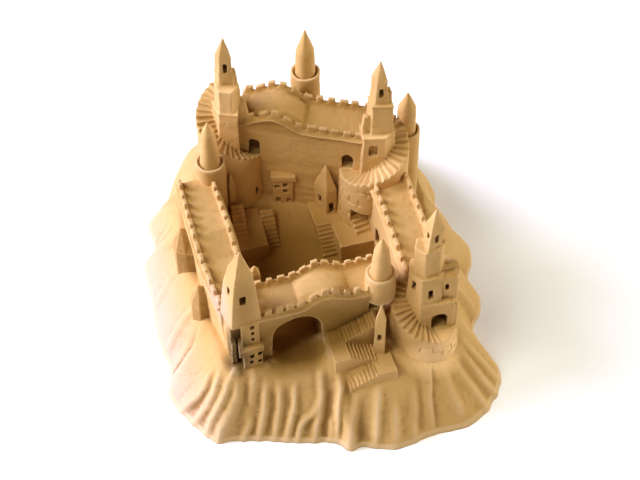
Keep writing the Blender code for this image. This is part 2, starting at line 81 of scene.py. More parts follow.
# Rings (rows, columns, 3) skinned one to the next, each end closed by a fan on its middle.
def ringShape(rings):
    rings = np.asarray(rings, float)
    rows, columns = rings.shape[:2]
    count = rows * columns
    points = np.vstack([rings.reshape(-1, 3), rings[0].mean(0), rings[-1].mean(0)])
    j = np.arange(columns)
    k = (j + 1) % columns
    low = np.stack([np.full(columns, count), k, j], axis=-1)
    high = np.stack([np.full(columns, count + 1), count - columns + j, count - columns + k], axis=-1)
    return outward((points, [gridFaces(rows, columns), low, high]))


# Six-sided blocks from their four lower and four upper corners, arrays (blocks, 4, 3).
def blockShape(lower, upper):
    lower, upper = np.asarray(lower, float), np.asarray(upper, float)
    corners = np.concatenate([lower, upper], axis=1)
    sides = np.array([[3, 2, 1, 0], [4, 5, 6, 7], [0, 1, 5, 4], [1, 2, 6, 5], [2, 3, 7, 6], [3, 0, 4, 7]])
    faces = (np.arange(len(corners))[:, None, None] * 8 + sides).reshape(-1, 4)
    return outward((corners.reshape(-1, 3), [faces]))


# Signed volume as the sum of the tetrahedra from the origin; the faces turn if it is negative.
def outward(shape):
    points, faces = shape
    volume = 0.0
    for block in faces:
        a = points[block[:, 0]]
        for corner in range(1, block.shape[1] - 1):
            b, c = points[block[:, corner]], points[block[:, corner + 1]]
            volume += np.einsum("ij,ij->i", a, np.cross(b, c)).sum()
    return shape if volume > 0 else (points, [block[:, ::-1] for block in faces])


def meshFromShape(name, shape):
    points, faces = shape
    mesh = bpy.data.meshes.new(name)
    sizes = np.concatenate([np.full(len(block), block.shape[1]) for block in faces])
    corners = np.concatenate([block.ravel() for block in faces])
    mesh.vertices.add(len(points))
    mesh.vertices.foreach_set("co", np.asarray(points, np.float32).ravel())
    mesh.loops.add(len(corners))
    mesh.loops.foreach_set("vertex_index", corners.astype(np.int32))
    mesh.polygons.add(len(sizes))
    mesh.polygons.foreach_set("loop_start", (np.cumsum(sizes) - sizes).astype(np.int32))
    mesh.polygons.foreach_set("loop_total", sizes.astype(np.int32))
    mesh.update(calc_edges=True)
    mesh.validate()
    return mesh


# Value noise from -1 to 1: numbers hashed from the eight corners of each cell, mixed smoothly.
def smoothNoise(points, cell, seed):
    place = points / cell + seed * 7.31
    base = np.floor(place).astype(np.int64)
    part = place - base
    part = part * part * (3 - 2 * part)
    total = np.zeros(len(points))
    for corner in range(8):
        step = np.array([corner & 1, corner >> 1 & 1, corner >> 2 & 1])
        key = ((base + step) * np.array([73856093, 19349663, 83492791])).sum(axis=1) + seed * 2654435
        key = (key ^ key >> 13) * 1274126177 & 0xffffffff
        value = (key ^ key >> 16) & 0xffff
        weight = np.where(step == 1, part, 1 - part).prod(axis=1)
        total += weight * (value / 32767.5 - 1)
    return total


def smoothStep(low, high, value):
    part = np.clip((value - low) / (high - low), 0, 1)
    return part * part * (3 - 2 * part)


sandLook = {
    "lump": (0.00045, 0.021), "dent": (0.00030, 0.0075), "grain": (0.00013, 0.0026),   # height, width
    "pit": (0.00042, 0.0042, 0.60),                           # depth, width, how rare
    "hollowTurns": 8,                                         # how far around a hollow is felt
    "openingDeep": 2.7, "openingReach": 0.0050,               # mark for the painted shade inside windows, way in to reach it
    "strataHeight": 0.00045, "strataWidth": 0.045, "strataFlat": 7.0,
    "soften": 0.5, "keep": 0.5,                               # smoothing, and the share of triangles kept
}


def skinOf(mesh):                     # its points and normals, each (n, 3)
    points, normals = np.empty((2, len(mesh.vertices) * 3), np.float32)
    mesh.vertices.foreach_get("co", points)
    mesh.vertex_normals.foreach_get("vector", normals)
    return points.reshape(-1, 3).astype(float), normals.reshape(-1, 3).astype(float)


# Sand worn by hand: three sizes of noise along the normal, less small pits where a noise peaks.
def wear(mesh, seed, extra=None):
    points, normals = skinOf(mesh)
    move = np.zeros(len(points))
    for step, part in enumerate(("lump", "dent", "grain")):
        height, cell = sandLook[part]
        move += height * smoothNoise(points, cell, seed + step)
    depth, cell, rare = sandLook["pit"]
    move -= depth * smoothStep(rare, rare + 0.25, smoothNoise(points, cell, seed + 9))
    if extra is not None:
        move += extra(points, normals)
    points += normals * move[:, None]
    points[:, 2] = np.maximum(points[:, 2], 0.0)
    points += np.array(castle["shift"])
    mesh.vertices.foreach_set("co", points.astype(np.float32).ravel())
    mesh.update()


# How deep a point lies in the skin around it: the skin is averaged with its neighbours several
# times, and the way from the point out to the averaged skin, in millimetres, is kept with it,
# times the piece's relief and plus its own painted shade. Inside windows and doors it grows with the
# way in, as a smooth step from 0 to openingDeep over openingReach, but not on their floors. The
# material paints shade in hollows and highlights on edges from this mark.
openings = []                         # opening() notes each window and door here


def markHollows(mesh, relief, paintedShade):
    points, normals = skinOf(mesh)
    count = len(points)
    ends = np.empty(len(mesh.edges) * 2, np.int32)
    mesh.edges.foreach_get("vertices", ends)
    first, second = ends[::2], ends[1::2]
    weight = 1 / np.maximum(np.bincount(ends, minlength=count), 1)
    averaged = points.copy()
    for turn in range(sandLook["hollowTurns"]):
        around = [np.bincount(first, averaged[second, k], count)
                  + np.bincount(second, averaged[first, k], count) for k in range(3)]
        averaged = 0.4 * averaged + 0.6 * np.stack(around, axis=1) * weight[:, None]
    depth = np.einsum("ij,ij->i", averaged - points, normals) * 1000 * relief + paintedShade
    for place, out, side, half, low, high, deep in openings:
        away = points[:, :2] - np.array(castle["shift"][:2]) - place
        across, into = np.abs(away @ side), -(away @ out)
        inside = ((across < half + 0.0005) & (points[:, 2] > low - 0.0003) & (points[:, 2] < high + 0.0006)
                  & (into < deep + 0.0015) & (normals[:, 2] < 0.5))
        depth += sandLook["openingDeep"] * inside * smoothStep(0.0002, sandLook["openingReach"], into)
    mark = mesh.attributes.new("hollow", "FLOAT", "POINT")
    mark.data.foreach_set("value", depth.astype(np.float32))


# Faint level layers where the sand was packed course by course, on upright faces only.
def strata(points, normals):
    layer = smoothNoise(points * np.array([1.0, 1.0, sandLook["strataFlat"]]), sandLook["strataWidth"], 71)
    return sandLook["strataHeight"] * layer * (np.abs(normals[:, 2]) < 0.5)


def addPiece(name, mesh, relief=1.0, paintedShade=0.0):
    markHollows(mesh, relief, paintedShade)
    piece = addObject(name, mesh)
    mesh.materials.clear()
    mesh.materials.append(sand)
    mesh.shade_smooth()
    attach(piece, "root")
    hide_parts("sandcastle")
    print(name, len(mesh.loops) - 2 * len(mesh.polygons), "triangles")


def applied(holder, name):            # the object's mesh with its modifiers done
    bpy.context.view_layer.update()
    mesh = bpy.data.meshes.new_from_object(holder.evaluated_get(bpy.context.evaluated_depsgraph_get()))
    mesh.name = name
    bpy.data.objects.remove(holder, do_unlink=True)
    return mesh


# Closed shapes that run into each other become one skin by a voxel remesh; the hollows are
# cut out of it, and a second remesh and a little smoothing soften every edge as sand does.
def carve(name, shapes, hollows, voxel, seed, extra=None, paintedShade=0.0):
    blank = addObject(name + "Blank", meshFromShape(name + "Blank", joinShapes(shapes)))
    cutter = None

    def fuse():
        remesh = blank.modifiers.new("fuse", "REMESH")
        remesh.mode, remesh.voxel_size = "VOXEL", voxel
    fuse()
    if hollows:
        cutter = addObject(name + "Hollows", meshFromShape(name + "Hollows", joinShapes(hollows)))
        cut = blank.modifiers.new("hollow", "BOOLEAN")
        cut.operation, cut.object, cut.solver = "DIFFERENCE", cutter, "MANIFOLD"
        fuse()
    smooth = blank.modifiers.new("soften", "SMOOTH")
    smooth.factor, smooth.iterations = sandLook["soften"], 1
    mesh = applied(blank, name)
    if cutter:
        bpy.data.objects.remove(cutter, do_unlink=True)
    wear(mesh, seed, extra)
    addPiece(name, thin(mesh), paintedShade=paintedShade)


# Flat stretches need fewer faces than edges do, so a share of the triangles collapses.
def thin(mesh):
    holder = addObject("holder", mesh)
    collapse = holder.modifiers.new("thin", "DECIMATE")
    collapse.ratio = sandLook["keep"]
    return applied(holder, mesh.name)


sandColour = {
    "light": (0.655, 0.432, 0.180, 1), "dark": (0.600, 0.384, 0.148, 1), "grainDark": (0.44, 0.26, 0.10, 1),
    "paintedHighlight": (0.665, 0.458, 0.325, 1), "paintedLight": (0.880, 0.600, 0.300, 1), "paintedHalfShade": (0.470, 0.290, 0.100, 1),
    "paintedShade": (0.350, 0.208, 0.056, 1), "paintedDeepShade": (0.190, 0.118, 0.042, 1),
    # painted shade in creases and inside windows, painted highlight on edges: colour, then where it starts
    # and ends in mm, and its share
    "hollow": (0.270, 0.145, 0.042, 1), "hollowRange": (0.08, 1.00, 0.85),
    "deep": (0.120, 0.065, 0.020, 1), "deepRange": (1.60, 3.40, 1.0),
    "edgeHighlight": (0.745, 0.555, 0.335, 1), "edgeHighlightRange": (-0.12, -1.10, 0.60),
    # places painted lighter or darker to stand for light and shade: colour, middle, reach
    "places": [
        ("paintedHighlight", (-0.300, -0.030, 0.000), (0.155, 0.450, 0.110)),      # painted highlight on the slope on the key light's side
        ("paintedShade", (-0.026, -0.045, 0.050), (0.112, 0.125, 0.086)),     # painted shade on the courtyard
        ("paintedShade", (-0.050, -0.164, 0.100), (0.122, 0.045, 0.080)),     # painted shade in the gate and at the foot of its wall
        ("paintedDeepShade", (-0.144, -0.170, 0.108), (0.022, 0.024, 0.054)),      # painted deep shade in the niche beside the gatehouse
        ("paintedHighlight", (-0.170, -0.150, 0.190), (0.024, 0.060, 0.090)),      # painted highlight on the lit side of the corner tower
        ("paintedHalfShade", (-0.130, -0.182, 0.200), (0.022, 0.015, 0.085)),    # painted shade on its front
        ("paintedLight", (0.092, -0.010, 0.260), (0.044, 0.030, 0.100)),      # painted light on the fronts of the back towers
        ("paintedLight", (-0.086, 0.074, 0.265), (0.038, 0.030, 0.110)),
        ("paintedLight", (0.105, -0.226, 0.078), (0.050, 0.030, 0.036)),      # painted light on the drum by the stairs
        ("paintedHalfShade", (0.030, 0.082, 0.234), (0.125, 0.075, 0.024)),      # painted shade on the walk of the back wall
        ("paintedHalfShade", (-0.165, -0.008, 0.100), (0.014, 0.024, 0.044)),    # painted shade and shadow on the houses on the slope
        ("paintedHalfShade", (-0.164, -0.082, 0.092), (0.012, 0.020, 0.040))],
    "patchScale": 16, "patchRange": (0.36, 0.64), "grainScale": 850, "grainRange": (0.60, 0.78),
    "placeRange": (1.05, 0.55), "roughness": 0.93, "specular": 0.25,
    "bump": 0.35, "bumpDistance": 0.0006, "coarseScale": 260, "coarseBump": 0.3, "coarseDistance": 0.0012,
}


def sandMaterial():
    material = bpy.data.materials.new("packedSand")
    material.use_nodes = True
    nodes, links = material.node_tree.nodes, material.node_tree.links
    shader = nodes["Principled BSDF"]
    shader.inputs["Roughness"].default_value = sandColour["roughness"]
    shader.inputs["Specular IOR Level"].default_value = sandColour["specular"]
    where = nodes.new("ShaderNodeTexCoord").outputs["Object"]

    def noise(scale, detail, roughness=0.55):
        node = nodes.new("ShaderNodeTexNoise")
        node.inputs["Scale"].default_value = scale
        node.inputs["Detail"].default_value = detail
        node.inputs["Roughness"].default_value = roughness
        links.new(where, node.inputs["Vector"])
        return node.outputs["Fac"]

    def ramp(value, low, high):
        node = nodes.new("ShaderNodeMapRange")
        node.inputs["From Min"].default_value = low
        node.inputs["From Max"].default_value = high
        links.new(value, node.inputs["Value"])
        return node.outputs["Result"]

    def blend(factor, first, second):
        node = nodes.new("ShaderNodeMix")
        node.data_type = "RGBA"
        links.new(factor, node.inputs["Factor"])
        for socket, colour in ((node.inputs[6], first), (node.inputs[7], second)):
            if isinstance(colour, tuple):
                socket.default_value = colour
            else:
                links.new(colour, socket)
        return node.outputs[2]

    def scaled(value, factor):
        node = nodes.new("ShaderNodeMath")
        node.operation = "MULTIPLY"
        node.inputs[1].default_value = factor
        links.new(value, node.inputs[0])
        return node.outputs[0]

    def near(middle, reach):             # 1 in the middle of a place, 0 beyond its reach
        shift = nodes.new("ShaderNodeMapping")
        shift.inputs["Location"].default_value = [-m / r for m, r in zip(middle, reach)]
        shift.inputs["Scale"].default_value = [1 / r for r in reach]
        links.new(where, shift.inputs["Vector"])
        length = nodes.new("ShaderNodeVectorMath")
        length.operation = "LENGTH"
        links.new(shift.outputs["Vector"], length.inputs[0])
        return ramp(length.outputs["Value"], *sandColour["placeRange"])

    patches = ramp(noise(sandColour["patchScale"], 4), *sandColour["patchRange"])    # damp and dry
    grains = ramp(noise(sandColour["grainScale"], 2), *sandColour["grainRange"])     # single dark grains
    tone = blend(patches, sandColour["dark"], sandColour["light"])
    # painted light and shade at the listed places
    for colour, middle, reach in sandColour["places"]:
        tone = blend(near(middle, reach), tone, sandColour[colour])
    # painted highlight on edges, painted shade in creases and inside windows and doors
    hollow = nodes.new("ShaderNodeAttribute")
    hollow.attribute_name = "hollow"
    for mark in ("hollow", "deep", "edgeHighlight"):
        low, high, share = sandColour[mark + "Range"]
        tone = blend(scaled(ramp(hollow.outputs["Fac"], low, high), share), tone, sandColour[mark])
    links.new(blend(grains, tone, sandColour["grainDark"]), shader.inputs["Base Color"])

    def bump(height, strength, distance):
        node = nodes.new("ShaderNodeBump")
        node.inputs["Strength"].default_value, node.inputs["Distance"].default_value = strength, distance
        links.new(height, node.inputs["Height"])
        return node

    fine = bump(noise(sandColour["grainScale"] * 1.3, 3, 0.7), sandColour["bump"], sandColour["bumpDistance"])
    coarse = bump(noise(sandColour["coarseScale"], 3), sandColour["coarseBump"], sandColour["coarseDistance"])
    links.new(coarse.outputs["Normal"], fine.inputs["Normal"])
    links.new(fine.outputs["Normal"], shader.inputs["Normal"])
    return material


sand = sandMaterial()


mound = {
    # outline of the foot and of the shoulder in plan, all tables in millimetres
    "foot": metres([
        (-205, -238), (-169, -245), (-106, -267), (-62, -279), (-46, -297), (-26, -296), (12, -311),
        (63, -304), (116, -303), (159, -274), (181, -237), (175, -210), (167, -184), (171, -158),
        (189, -136), (197, -110), (192, -78), (206, -53), (212, -24), (201, 4), (190, 50), (198, 90),
        (184, 118), (180, 155), (158, 200), (104, 246), (45, 268), (-10, 284), (-65, 278), (-118, 272),
        (-152, 230), (-176, 184), (-184, 165), (-202, 155), (-216, 141), (-216, 122), (-215, 100),
        (-221, 84), (-235, 74), (-237, 50), (-238, 10), (-242, -25), (-244, -65), (-239, -112),
        (-249, -150), (-238, -184), (-222, -216)]),
    "shoulder": metres([
        (-172, -182), (-112, -190), (-50, -204), (4, -226), (46, -214), (84, -197), (112, -172),
        (132, -115), (146, -20), (156, 45), (150, 100), (110, 150), (50, 180), (-20, 192), (-95, 182),
        (-145, 135), (-176, 80), (-184, 10), (-181, -90), (-178, -150)]),
    "spokes": 520, "slopeRows": 74, "topRows": 40, "middle": (-0.020, -0.030), "curve": 1.5,
    # folds of the front and of the corners: plan points from head to foot, height, width of the
    # lit flank and of the other one
    "folds": metres([
        ([(-190, -168), (-204, -183), (-214, -185), (-229, -181), (-243, -179)], 5.2, 13, 4),
        ([(-184, -182), (-195, -197), (-206, -202), (-218, -203), (-236, -203)], 3.6, 5.5, 4),
        ([(-169, -188), (-181, -205), (-193, -213), (-207, -218), (-222, -228)], 4, 6, 4),
        ([(-160, -198), (-168, -214), (-180, -224), (-194, -231), (-209, -243)], 5.2, 8.5, 4.8),
        ([(-143, -202), (-150, -215), (-156, -223)], 2.6, 6, 4.5),
        ([(-155, -232), (-164, -239), (-175, -246)], 3, 4.8, 3.6),
        ([(-130, -210), (-138, -230), (-145, -240), (-156, -253)], 4.2, 6, 4.2),
        ([(-113, -214), (-120, -234), (-128, -247), (-136, -259)], 3, 4.6, 3.6),
        ([(-94, -218), (-103, -241), (-112, -252), (-121, -264)], 3.6, 4.6, 3.6),
        ([(-72, -243), (-82, -250), (-92, -252), (-98, -255), (-108, -269)], 3.4, 4, 3.2),
        ([(-61, -208), (-65, -237), (-71, -250), (-78, -260), (-88, -277)], 4.6, 5.8, 5),
        ([(-60, -258), (-64, -270), (-68, -280)], 2.8, 3.6, 3.2),
        ([(-40, -226), (-42, -241), (-49, -253), (-54, -268), (-60, -284)], 5.6, 5.8, 4),
        ([(-22, -246), (-31, -266), (-36, -278), (-43, -298)], 4, 6, 7),
        ([(6, -252), (-5, -279), (-8, -288), (-14, -304)], 4.2, 6.5, 5.5),
        ([(22, -270), (18, -290), (13, -308)], 3, 5.5, 5),
        ([(49, -254), (46, -280), (41, -292), (37, -312)], 2.8, 6.5, 5),
        ([(75, -236), (71, -257), (67, -272), (66, -285), (65, -305)], 3.8, 11, 3.4),
        ([(92, -246), (96, -267), (102, -280), (109, -298)], 3.2, 8, 7),
        ([(110, -240), (128, -266), (140, -280), (150, -294)], 3.4, 7, 6),
        ([(124, -224), (145, -253), (158, -264), (170, -276)], 3, 6, 5.5),
        ([(130, -212), (161, -240), (180, -254)], 3.2, 6, 5.5),
        ([(-192, -100), (-211, -122), (-226, -126), (-248, -124)], -3, 5, 4),
        ([(-182, 92), (-200, 118), (-220, 142)], -1.4, 6, 6),
        ([(-190, 30), (-211, 50), (-236, 76)], -1.4, 6, 6)]),
    # banks against the walls: line, height, width on either side
    "banks": metres([
        ([(-44, -160), (-44, -185), (-45, -212), (-45.5, -232)], 15, 13, 9.5),
        ([(-150, -200), (-130, -196), (-118, -190)], 3, 9, 9),
        ([(-172, -190), (-160, -196)], 4, 8, 8)]),
    "skirts": [(0.082, -0.194, 0.045, 0.004)],              # sand swept up: middle, radius, height
    "sideFolds": 30, "sideHeight": 0.0019, "sideWidth": 0.0085,
    "passage": (-0.082, 0.030, 0.0135),      # the gate's hollow: middle, half width, depth
    "relief": 0.85,                          # how strongly painted shade marks its creases and painted highlight its edges
}


# The closed curve through the points, four at a time, read at even steps of its parameter.
def closedCurve(points, count):
    table = np.array(points)
    n = len(table)
    t = np.arange(count) * n / count
    i = np.floor(t).astype(int)
    u = (t - i)[:, None]
    p0, p1, p2, p3 = (table[(i + k) % n] for k in (-1, 0, 1, 2))
    return 0.5 * (2 * p1 + (p2 - p0) * u + (2 * p0 - 5 * p1 + 4 * p2 - p3) * u ** 2
                  + (3 * p1 - p0 - 3 * p2 + p3) * u ** 3)


# The curve read again at even steps of its length.
def evenCurve(points, count):
    curve = closedCurve(points, 4000)
    closed = np.vstack([curve, curve[:1]])
    run = np.concatenate([[0], np.cumsum(np.linalg.norm(np.diff(closed, axis=0), axis=1))])
    s = np.arange(count) * run[-1] / count
    return np.stack([np.interp(s, run, closed[:, k]) for k in (0, 1)], axis=1)


# Height of a fold at plan points: a ridge along the broken line from head to foot. Its section is
# exp(-(d / w)^2) for the distance d from the line, with a different w on each flank.
def foldHeight(plan, line, height, lit, shaded):
    line = np.array(line)
    nearest = np.full(plan.shape[:2], 1e9)
    side, place = np.zeros(plan.shape[:2]), np.zeros(plan.shape[:2])
    steps = np.linalg.norm(np.diff(line, axis=0), axis=1)
    run = np.concatenate([[0], np.cumsum(steps)])
    for k, step in enumerate(steps):
        along = (line[k + 1] - line[k]) / step
        offset = plan - line[k]
        s = offset @ along
        held = np.clip(s, 0 if k else -1, step if k < len(steps) - 1 else 1)
        gap = np.linalg.norm(offset - held[..., None] * along, axis=-1)
        closer = gap < nearest
        nearest = np.where(closer, gap, nearest)
        side = np.where(closer, offset @ np.array([-along[1], along[0]]), side)
        place = np.where(closer, (run[k] + s) / run[-1], place)
    width = np.where(side < 0, lit, shaded)
    fade = smoothStep(-0.12, 0.25, place) * (1 - 0.75 * smoothStep(0.72, 1.0, place))
    return height * fade * np.exp(-(nearest / width) ** 2)


yard = {
    "left": -0.146, "drum": 0.034,          # its left edge, and how far the back left drum moves that in
    "leftEdge": 0.012, "right": (0.080, 0.068), "front": (-0.172, -0.140), "back": (0.030, 0.014),
    "low": 0.062, "high": 0.101, "rampStart": -0.031, "rampLength": 0.121,
}


# The courtyard floor: how far a plan point is inside the walls, from 0 to 1, and its level there.
def yardShare(plan):
    x, y = plan[..., 0], plan[..., 1]
    left = yard["left"] + yard["drum"] * smoothStep(0.036, 0.060, y)
    behind = 0.466 * (x + 0.092) + 0.885 * (y - 0.0925)                 # way in behind the back wall's face
    return (smoothStep(left, left + yard["leftEdge"], x) * smoothStep(*yard["right"], x)
            * smoothStep(*yard["front"], y) * smoothStep(*yard["back"], behind))


def yardLevel(plan):
    ramp = np.clip((plan[..., 1] - yard["rampStart"]) / yard["rampLength"], 0, 1)
    return yard["low"] + (yard["high"] - yard["low"]) * ramp


# Low folds all round but at the front: from the foot up towards the nearest part of the shoulder.
def sideFolds():
    count = mound["sideFolds"]
    spread = np.linspace(0.0, 1.0, count, endpoint=False) + 0.008 * np.sin(np.arange(count) * 2.4)
    rim, inner = evenCurve(mound["foot"], 1000), evenCurve(mound["shoulder"], 1000)
    lines = []
    for step, part in enumerate(spread):
        start = rim[int(part * 1000) % 1000]
        if start[1] < -0.20 or (start[1] < -0.18 and start[0] < 0):
            continue                                                   # the front has its own folds
        end = inner[np.argmin(np.linalg.norm(inner - start, axis=1))] * 0.98 + np.array([0.0, 0.010])
        size = 0.7 + 0.5 * math.sin(step * 1.7)
        width = mound["sideWidth"] * (1.1 - 0.3 * size)
        bend = 0.5 * (start + end) + 0.004 * np.sin(step)
        lines.append(([end, bend, 1.05 * start - 0.05 * end], mound["sideHeight"] * size, width, width * 0.8))
    return lines


def moundShape():
    spokes, slopeRows, topRows = mound["spokes"], mound["slopeRows"], mound["topRows"]
    foot, middle = evenCurve(mound["foot"], spokes), np.array(mound["middle"])
    # each spoke runs from a foot point to the shoulder curve at the same bearing
    around = closedCurve(mound["shoulder"], 1600)
    bearing = np.unwrap(np.arctan2(around[:, 1] - middle[1], around[:, 0] - middle[0])) % (2 * np.pi)
    footBearing = np.arctan2(foot[:, 1] - middle[1], foot[:, 0] - middle[0]) % (2 * np.pi)
    order = np.argsort(bearing)
    shoulder = np.stack([np.interp(footBearing, bearing[order], around[order, k], period=2 * np.pi)
                         for k in (0, 1)], axis=1)
    t = np.linspace(0, 1, slopeRows)[:, None, None]                     # 0 at the foot, 1 at the shoulder
    slope = foot + (shoulder - foot) * t
    rise = castle["terrace"] * (1 - (1 - t[..., 0]) ** mound["curve"]) * np.ones((1, spokes))
    t = np.linspace(0, 0.985, topRows)[1:, None, None]                  # on from there to the middle
    top = shoulder + (middle - shoulder) * t
    share = yardShare(top)
    level = castle["terrace"] * (1 - share) + yardLevel(top) * share
    plan, height = np.vstack([slope, top]), np.vstack([rise, level])
    # the passage floor sinks towards the courtyard, and its hollow opens on to the slope
    x, y = plan[..., 0], plan[..., 1]
    gateway, half, depth = mound["passage"]
    across = np.exp(-((x - gateway) / half) ** 4)
    along = smoothStep(-0.222, -0.172, y) * (1 - yardShare(plan)) * smoothStep(-0.120, -0.135, y)
    height = height - depth * across * along
    for line in mound["banks"]:
        height = height + foldHeight(plan, *line)
    for left, front, reach, rise in mound["skirts"]:
        height = height + rise * smoothStep(reach + 0.020, reach, np.hypot(x - left, y - front))
    # folds push the slope outwards, as far as it is steep
    folds = np.zeros(plan.shape[:2])
    for line in mound["folds"] + sideFolds():
        folds += foldHeight(plan, *line)
    away = foot - shoulder
    away /= np.linalg.norm(away, axis=1)[:, None]
    plan = plan + away * folds[..., None]
    height = height + folds * 0.45
    height[0] = 0.0
    return ringShape(np.concatenate([plan, height[..., None]], axis=2))


moundMesh = meshFromShape("mound", moundShape())
wear(moundMesh, 3)
addPiece("mound", moundMesh, relief=mound["relief"])


# Walls run from start to end; walk is (distance, level) and hump is (middle, length, rise).
frontWall = {"start": (-0.140, -0.180), "end": (0.036, -0.178), "width": 0.0515, "voxel": 0.00115,
             "walk": [(0.0, 0.163), (1.0, 0.163)], "hump": (0.097, 0.070, 0.0135), "barrel": (0.47, 0.62),
             "pitch": 0.0146}
backWall = {"start": (-0.092, 0.0925), "end": (0.078, 0.003), "width": 0.060, "voxel": 0.0012,
            "walk": [(0.0, 0.228), (1.0, 0.228)], "hump": (0.052, 0.084, 0.017), "barrel": (0.46, 0.55),
            "pitch": 0.016}
leftWall = {"start": (-0.127, -0.150), "end": (-0.133, 0.054), "width": 0.046, "voxel": 0.0012,
            "walk": [(0.0, 0.163), (0.078, 0.163), (0.112, 0.176), (1.0, 0.176)], "hump": None,
            "pitch": 0.0175, "bow": 0.005, "undercut": 0.006}
rightWall = {"start": (0.1115, -0.168), "end": (0.113, -0.010), "width": 0.049, "voxel": 0.0012,
             "walk": [(0.0, 0.163), (0.090, 0.176), (1.0, 0.176)], "hump": None, "pitch": 0.0175}
parapet = {"thick": 0.0054, "rise": 0.0030, "stand": 0.0002, "drop": 0.0032, "bevel": 0.0008,
           "bead": 0.0040, "beadDrop": 0.0034,
           "merlon": 0.0086, "share": 0.63, "innerShare": 0.68, "sunk": 0.002, "inset": 0.0004,
           "spread": 0.09, "slip": 0.0005, "lean": 0.0003}      # how unevenly merlons are cut, placed, tilted


def wallLength(wall):
    return math.dist(wall["start"], wall["end"])


# The walkway's height: straight between its stations, plus a hump shaped as a raised cosine.
def walkLevel(wall, s):
    level = np.interp(s, [a for a, b in wall["walk"]], [b for a, b in wall["walk"]])
    if wall["hump"]:
        middle, length, rise = wall["hump"]
        part = np.minimum(1, np.abs(s - middle) / (length / 2))
        level = level + rise * (0.5 + 0.5 * np.cos(np.pi * part)) ** 0.8
    return level


# The outer face may bow: its offset is the width plus a half sine along the wall.
def wallWidth(wall, s):
    return wall["width"] + wall.get("bow", 0.0) * np.sin(np.pi * np.clip(s / wallLength(wall), 0, 1))


# The walkway between the parapets humps more abruptly than they do, as part of a barrel.
def barrelLevel(wall, s):
    level = np.interp(s, [a for a, b in wall["walk"]], [b for a, b in wall["walk"]])
    if wall["hump"]:
        middle, length, rise = wall["hump"]
        share, power = wall["barrel"]
        part = np.clip(np.abs(s - middle) / (length * share), 0, 1)
        level = level + rise * (1 - part ** 2) ** power
    return level


# Points of a wall from the distance along it, the offset into it and the height.
def onWall(wall, s, offset, z):
    start, end = np.array(wall["start"]), np.array(wall["end"])
    along = (end - start) / np.linalg.norm(end - start)
    left = np.array([-along[1], along[0]])
    s, offset, z = np.broadcast_arrays(s, offset, z)
    plan = start + along * s[..., None] + left * offset[..., None]
    return np.concatenate([plan, z[..., None]], axis=-1)


# A section with a bevelled top carried along the wall between two offsets and two levels.
def wallStrip(wall, s, near, far, low, high):
    bevel = parapet["bevel"]
    offsets = np.stack([near, near, near + bevel, far - bevel, far, far], axis=1)
    heights = np.stack([low, high - bevel, high, high, high - bevel, low], axis=1)
    return ringShape(onWall(wall, s[:, None], offsets, heights))


def merlonBlocks(wall, outer, seed):
    length = wallLength(wall)
    count = round(length / wall["pitch"])
    pitch = length / count
    rng = np.random.default_rng(seed)
    middle = pitch * (np.arange(count) + 0.5) + rng.normal(0, parapet["slip"], count)
    share = parapet["share"] if outer else parapet["innerShare"]
    half = 0.5 * share * pitch * rng.normal(1, parapet["spread"], count)
    base = walkLevel(wall, middle) + parapet["rise"] - parapet["sunk"]
    top = base + parapet["sunk"] + parapet["merlon"] * rng.normal(1, parapet["spread"], count)
    lean = rng.normal(0, parapet["lean"], count)
    width, thick, stand = wallWidth(wall, middle), parapet["thick"], parapet["stand"]
    near, far = (width - thick, width + stand) if outer else (-stand + 0 * middle, thick + 0 * middle)
    slope = (walkLevel(wall, middle + half) - walkLevel(wall, middle - half)) / 2
    inset = parapet["inset"]
    first, last = middle - half, middle + half
    lower = np.stack([onWall(wall, s, offset, base) for s, offset in
                      ((first, near), (last, near), (last, far), (first, far))], axis=1)
    first, last = first + inset + lean, last - inset + lean
    upper = np.stack([onWall(wall, s, offset, z) for s, offset, z in
                      ((first, near + inset, top - slope), (last, near + inset, top + slope),
                       (last, far - inset, top + slope), (first, far - inset, top - slope))], axis=1)
    return blockShape(lower, upper)


def wallShapes(wall, seed):
    s = np.linspace(0, wallLength(wall), 81)
    width, level, barrel = wallWidth(wall, s), walkLevel(wall, s), barrelLevel(wall, s)
    foot, none = np.full_like(s, castle["root"]), np.zeros_like(s)
    lean = 0.0016                                             # the faces lean back a little
    outerFoot = width + lean - wall.get("undercut", 0.0)
    offsets = np.stack([none - lean, none, none, width * 0.12, width * 0.3, width * 0.7, width * 0.88, width,
                        0.5 * (width + outerFoot), outerFoot], axis=1)
    middle = 0.5 * (level + foot)
    heights = np.stack([foot, middle, level, level, barrel, barrel, level, level, middle, foot], axis=1)
    shapes = [ringShape(onWall(wall, s[:, None], offsets, heights))]
    stand, thick, bead = parapet["stand"], parapet["thick"], parapet["bead"]
    for outer in (0, 1):
        near, far = (width - thick, width + stand) if outer else (-stand + none, thick + none)
        shapes.append(wallStrip(wall, s, near, far, level - parapet["drop"], level + parapet["rise"]))
        near, far = (width - thick, width + bead) if outer else (-bead + none, thick + none)
        shapes.append(wallStrip(wall, s, near, far, level - parapet["beadDrop"], level - 0.0002))
        shapes.append(merlonBlocks(wall, outer, seed + outer))
    return shapes


joints = {"wander": 0.0016, "wanderWidth": 0.011, "width": 0.0012, "patches": 0.014}


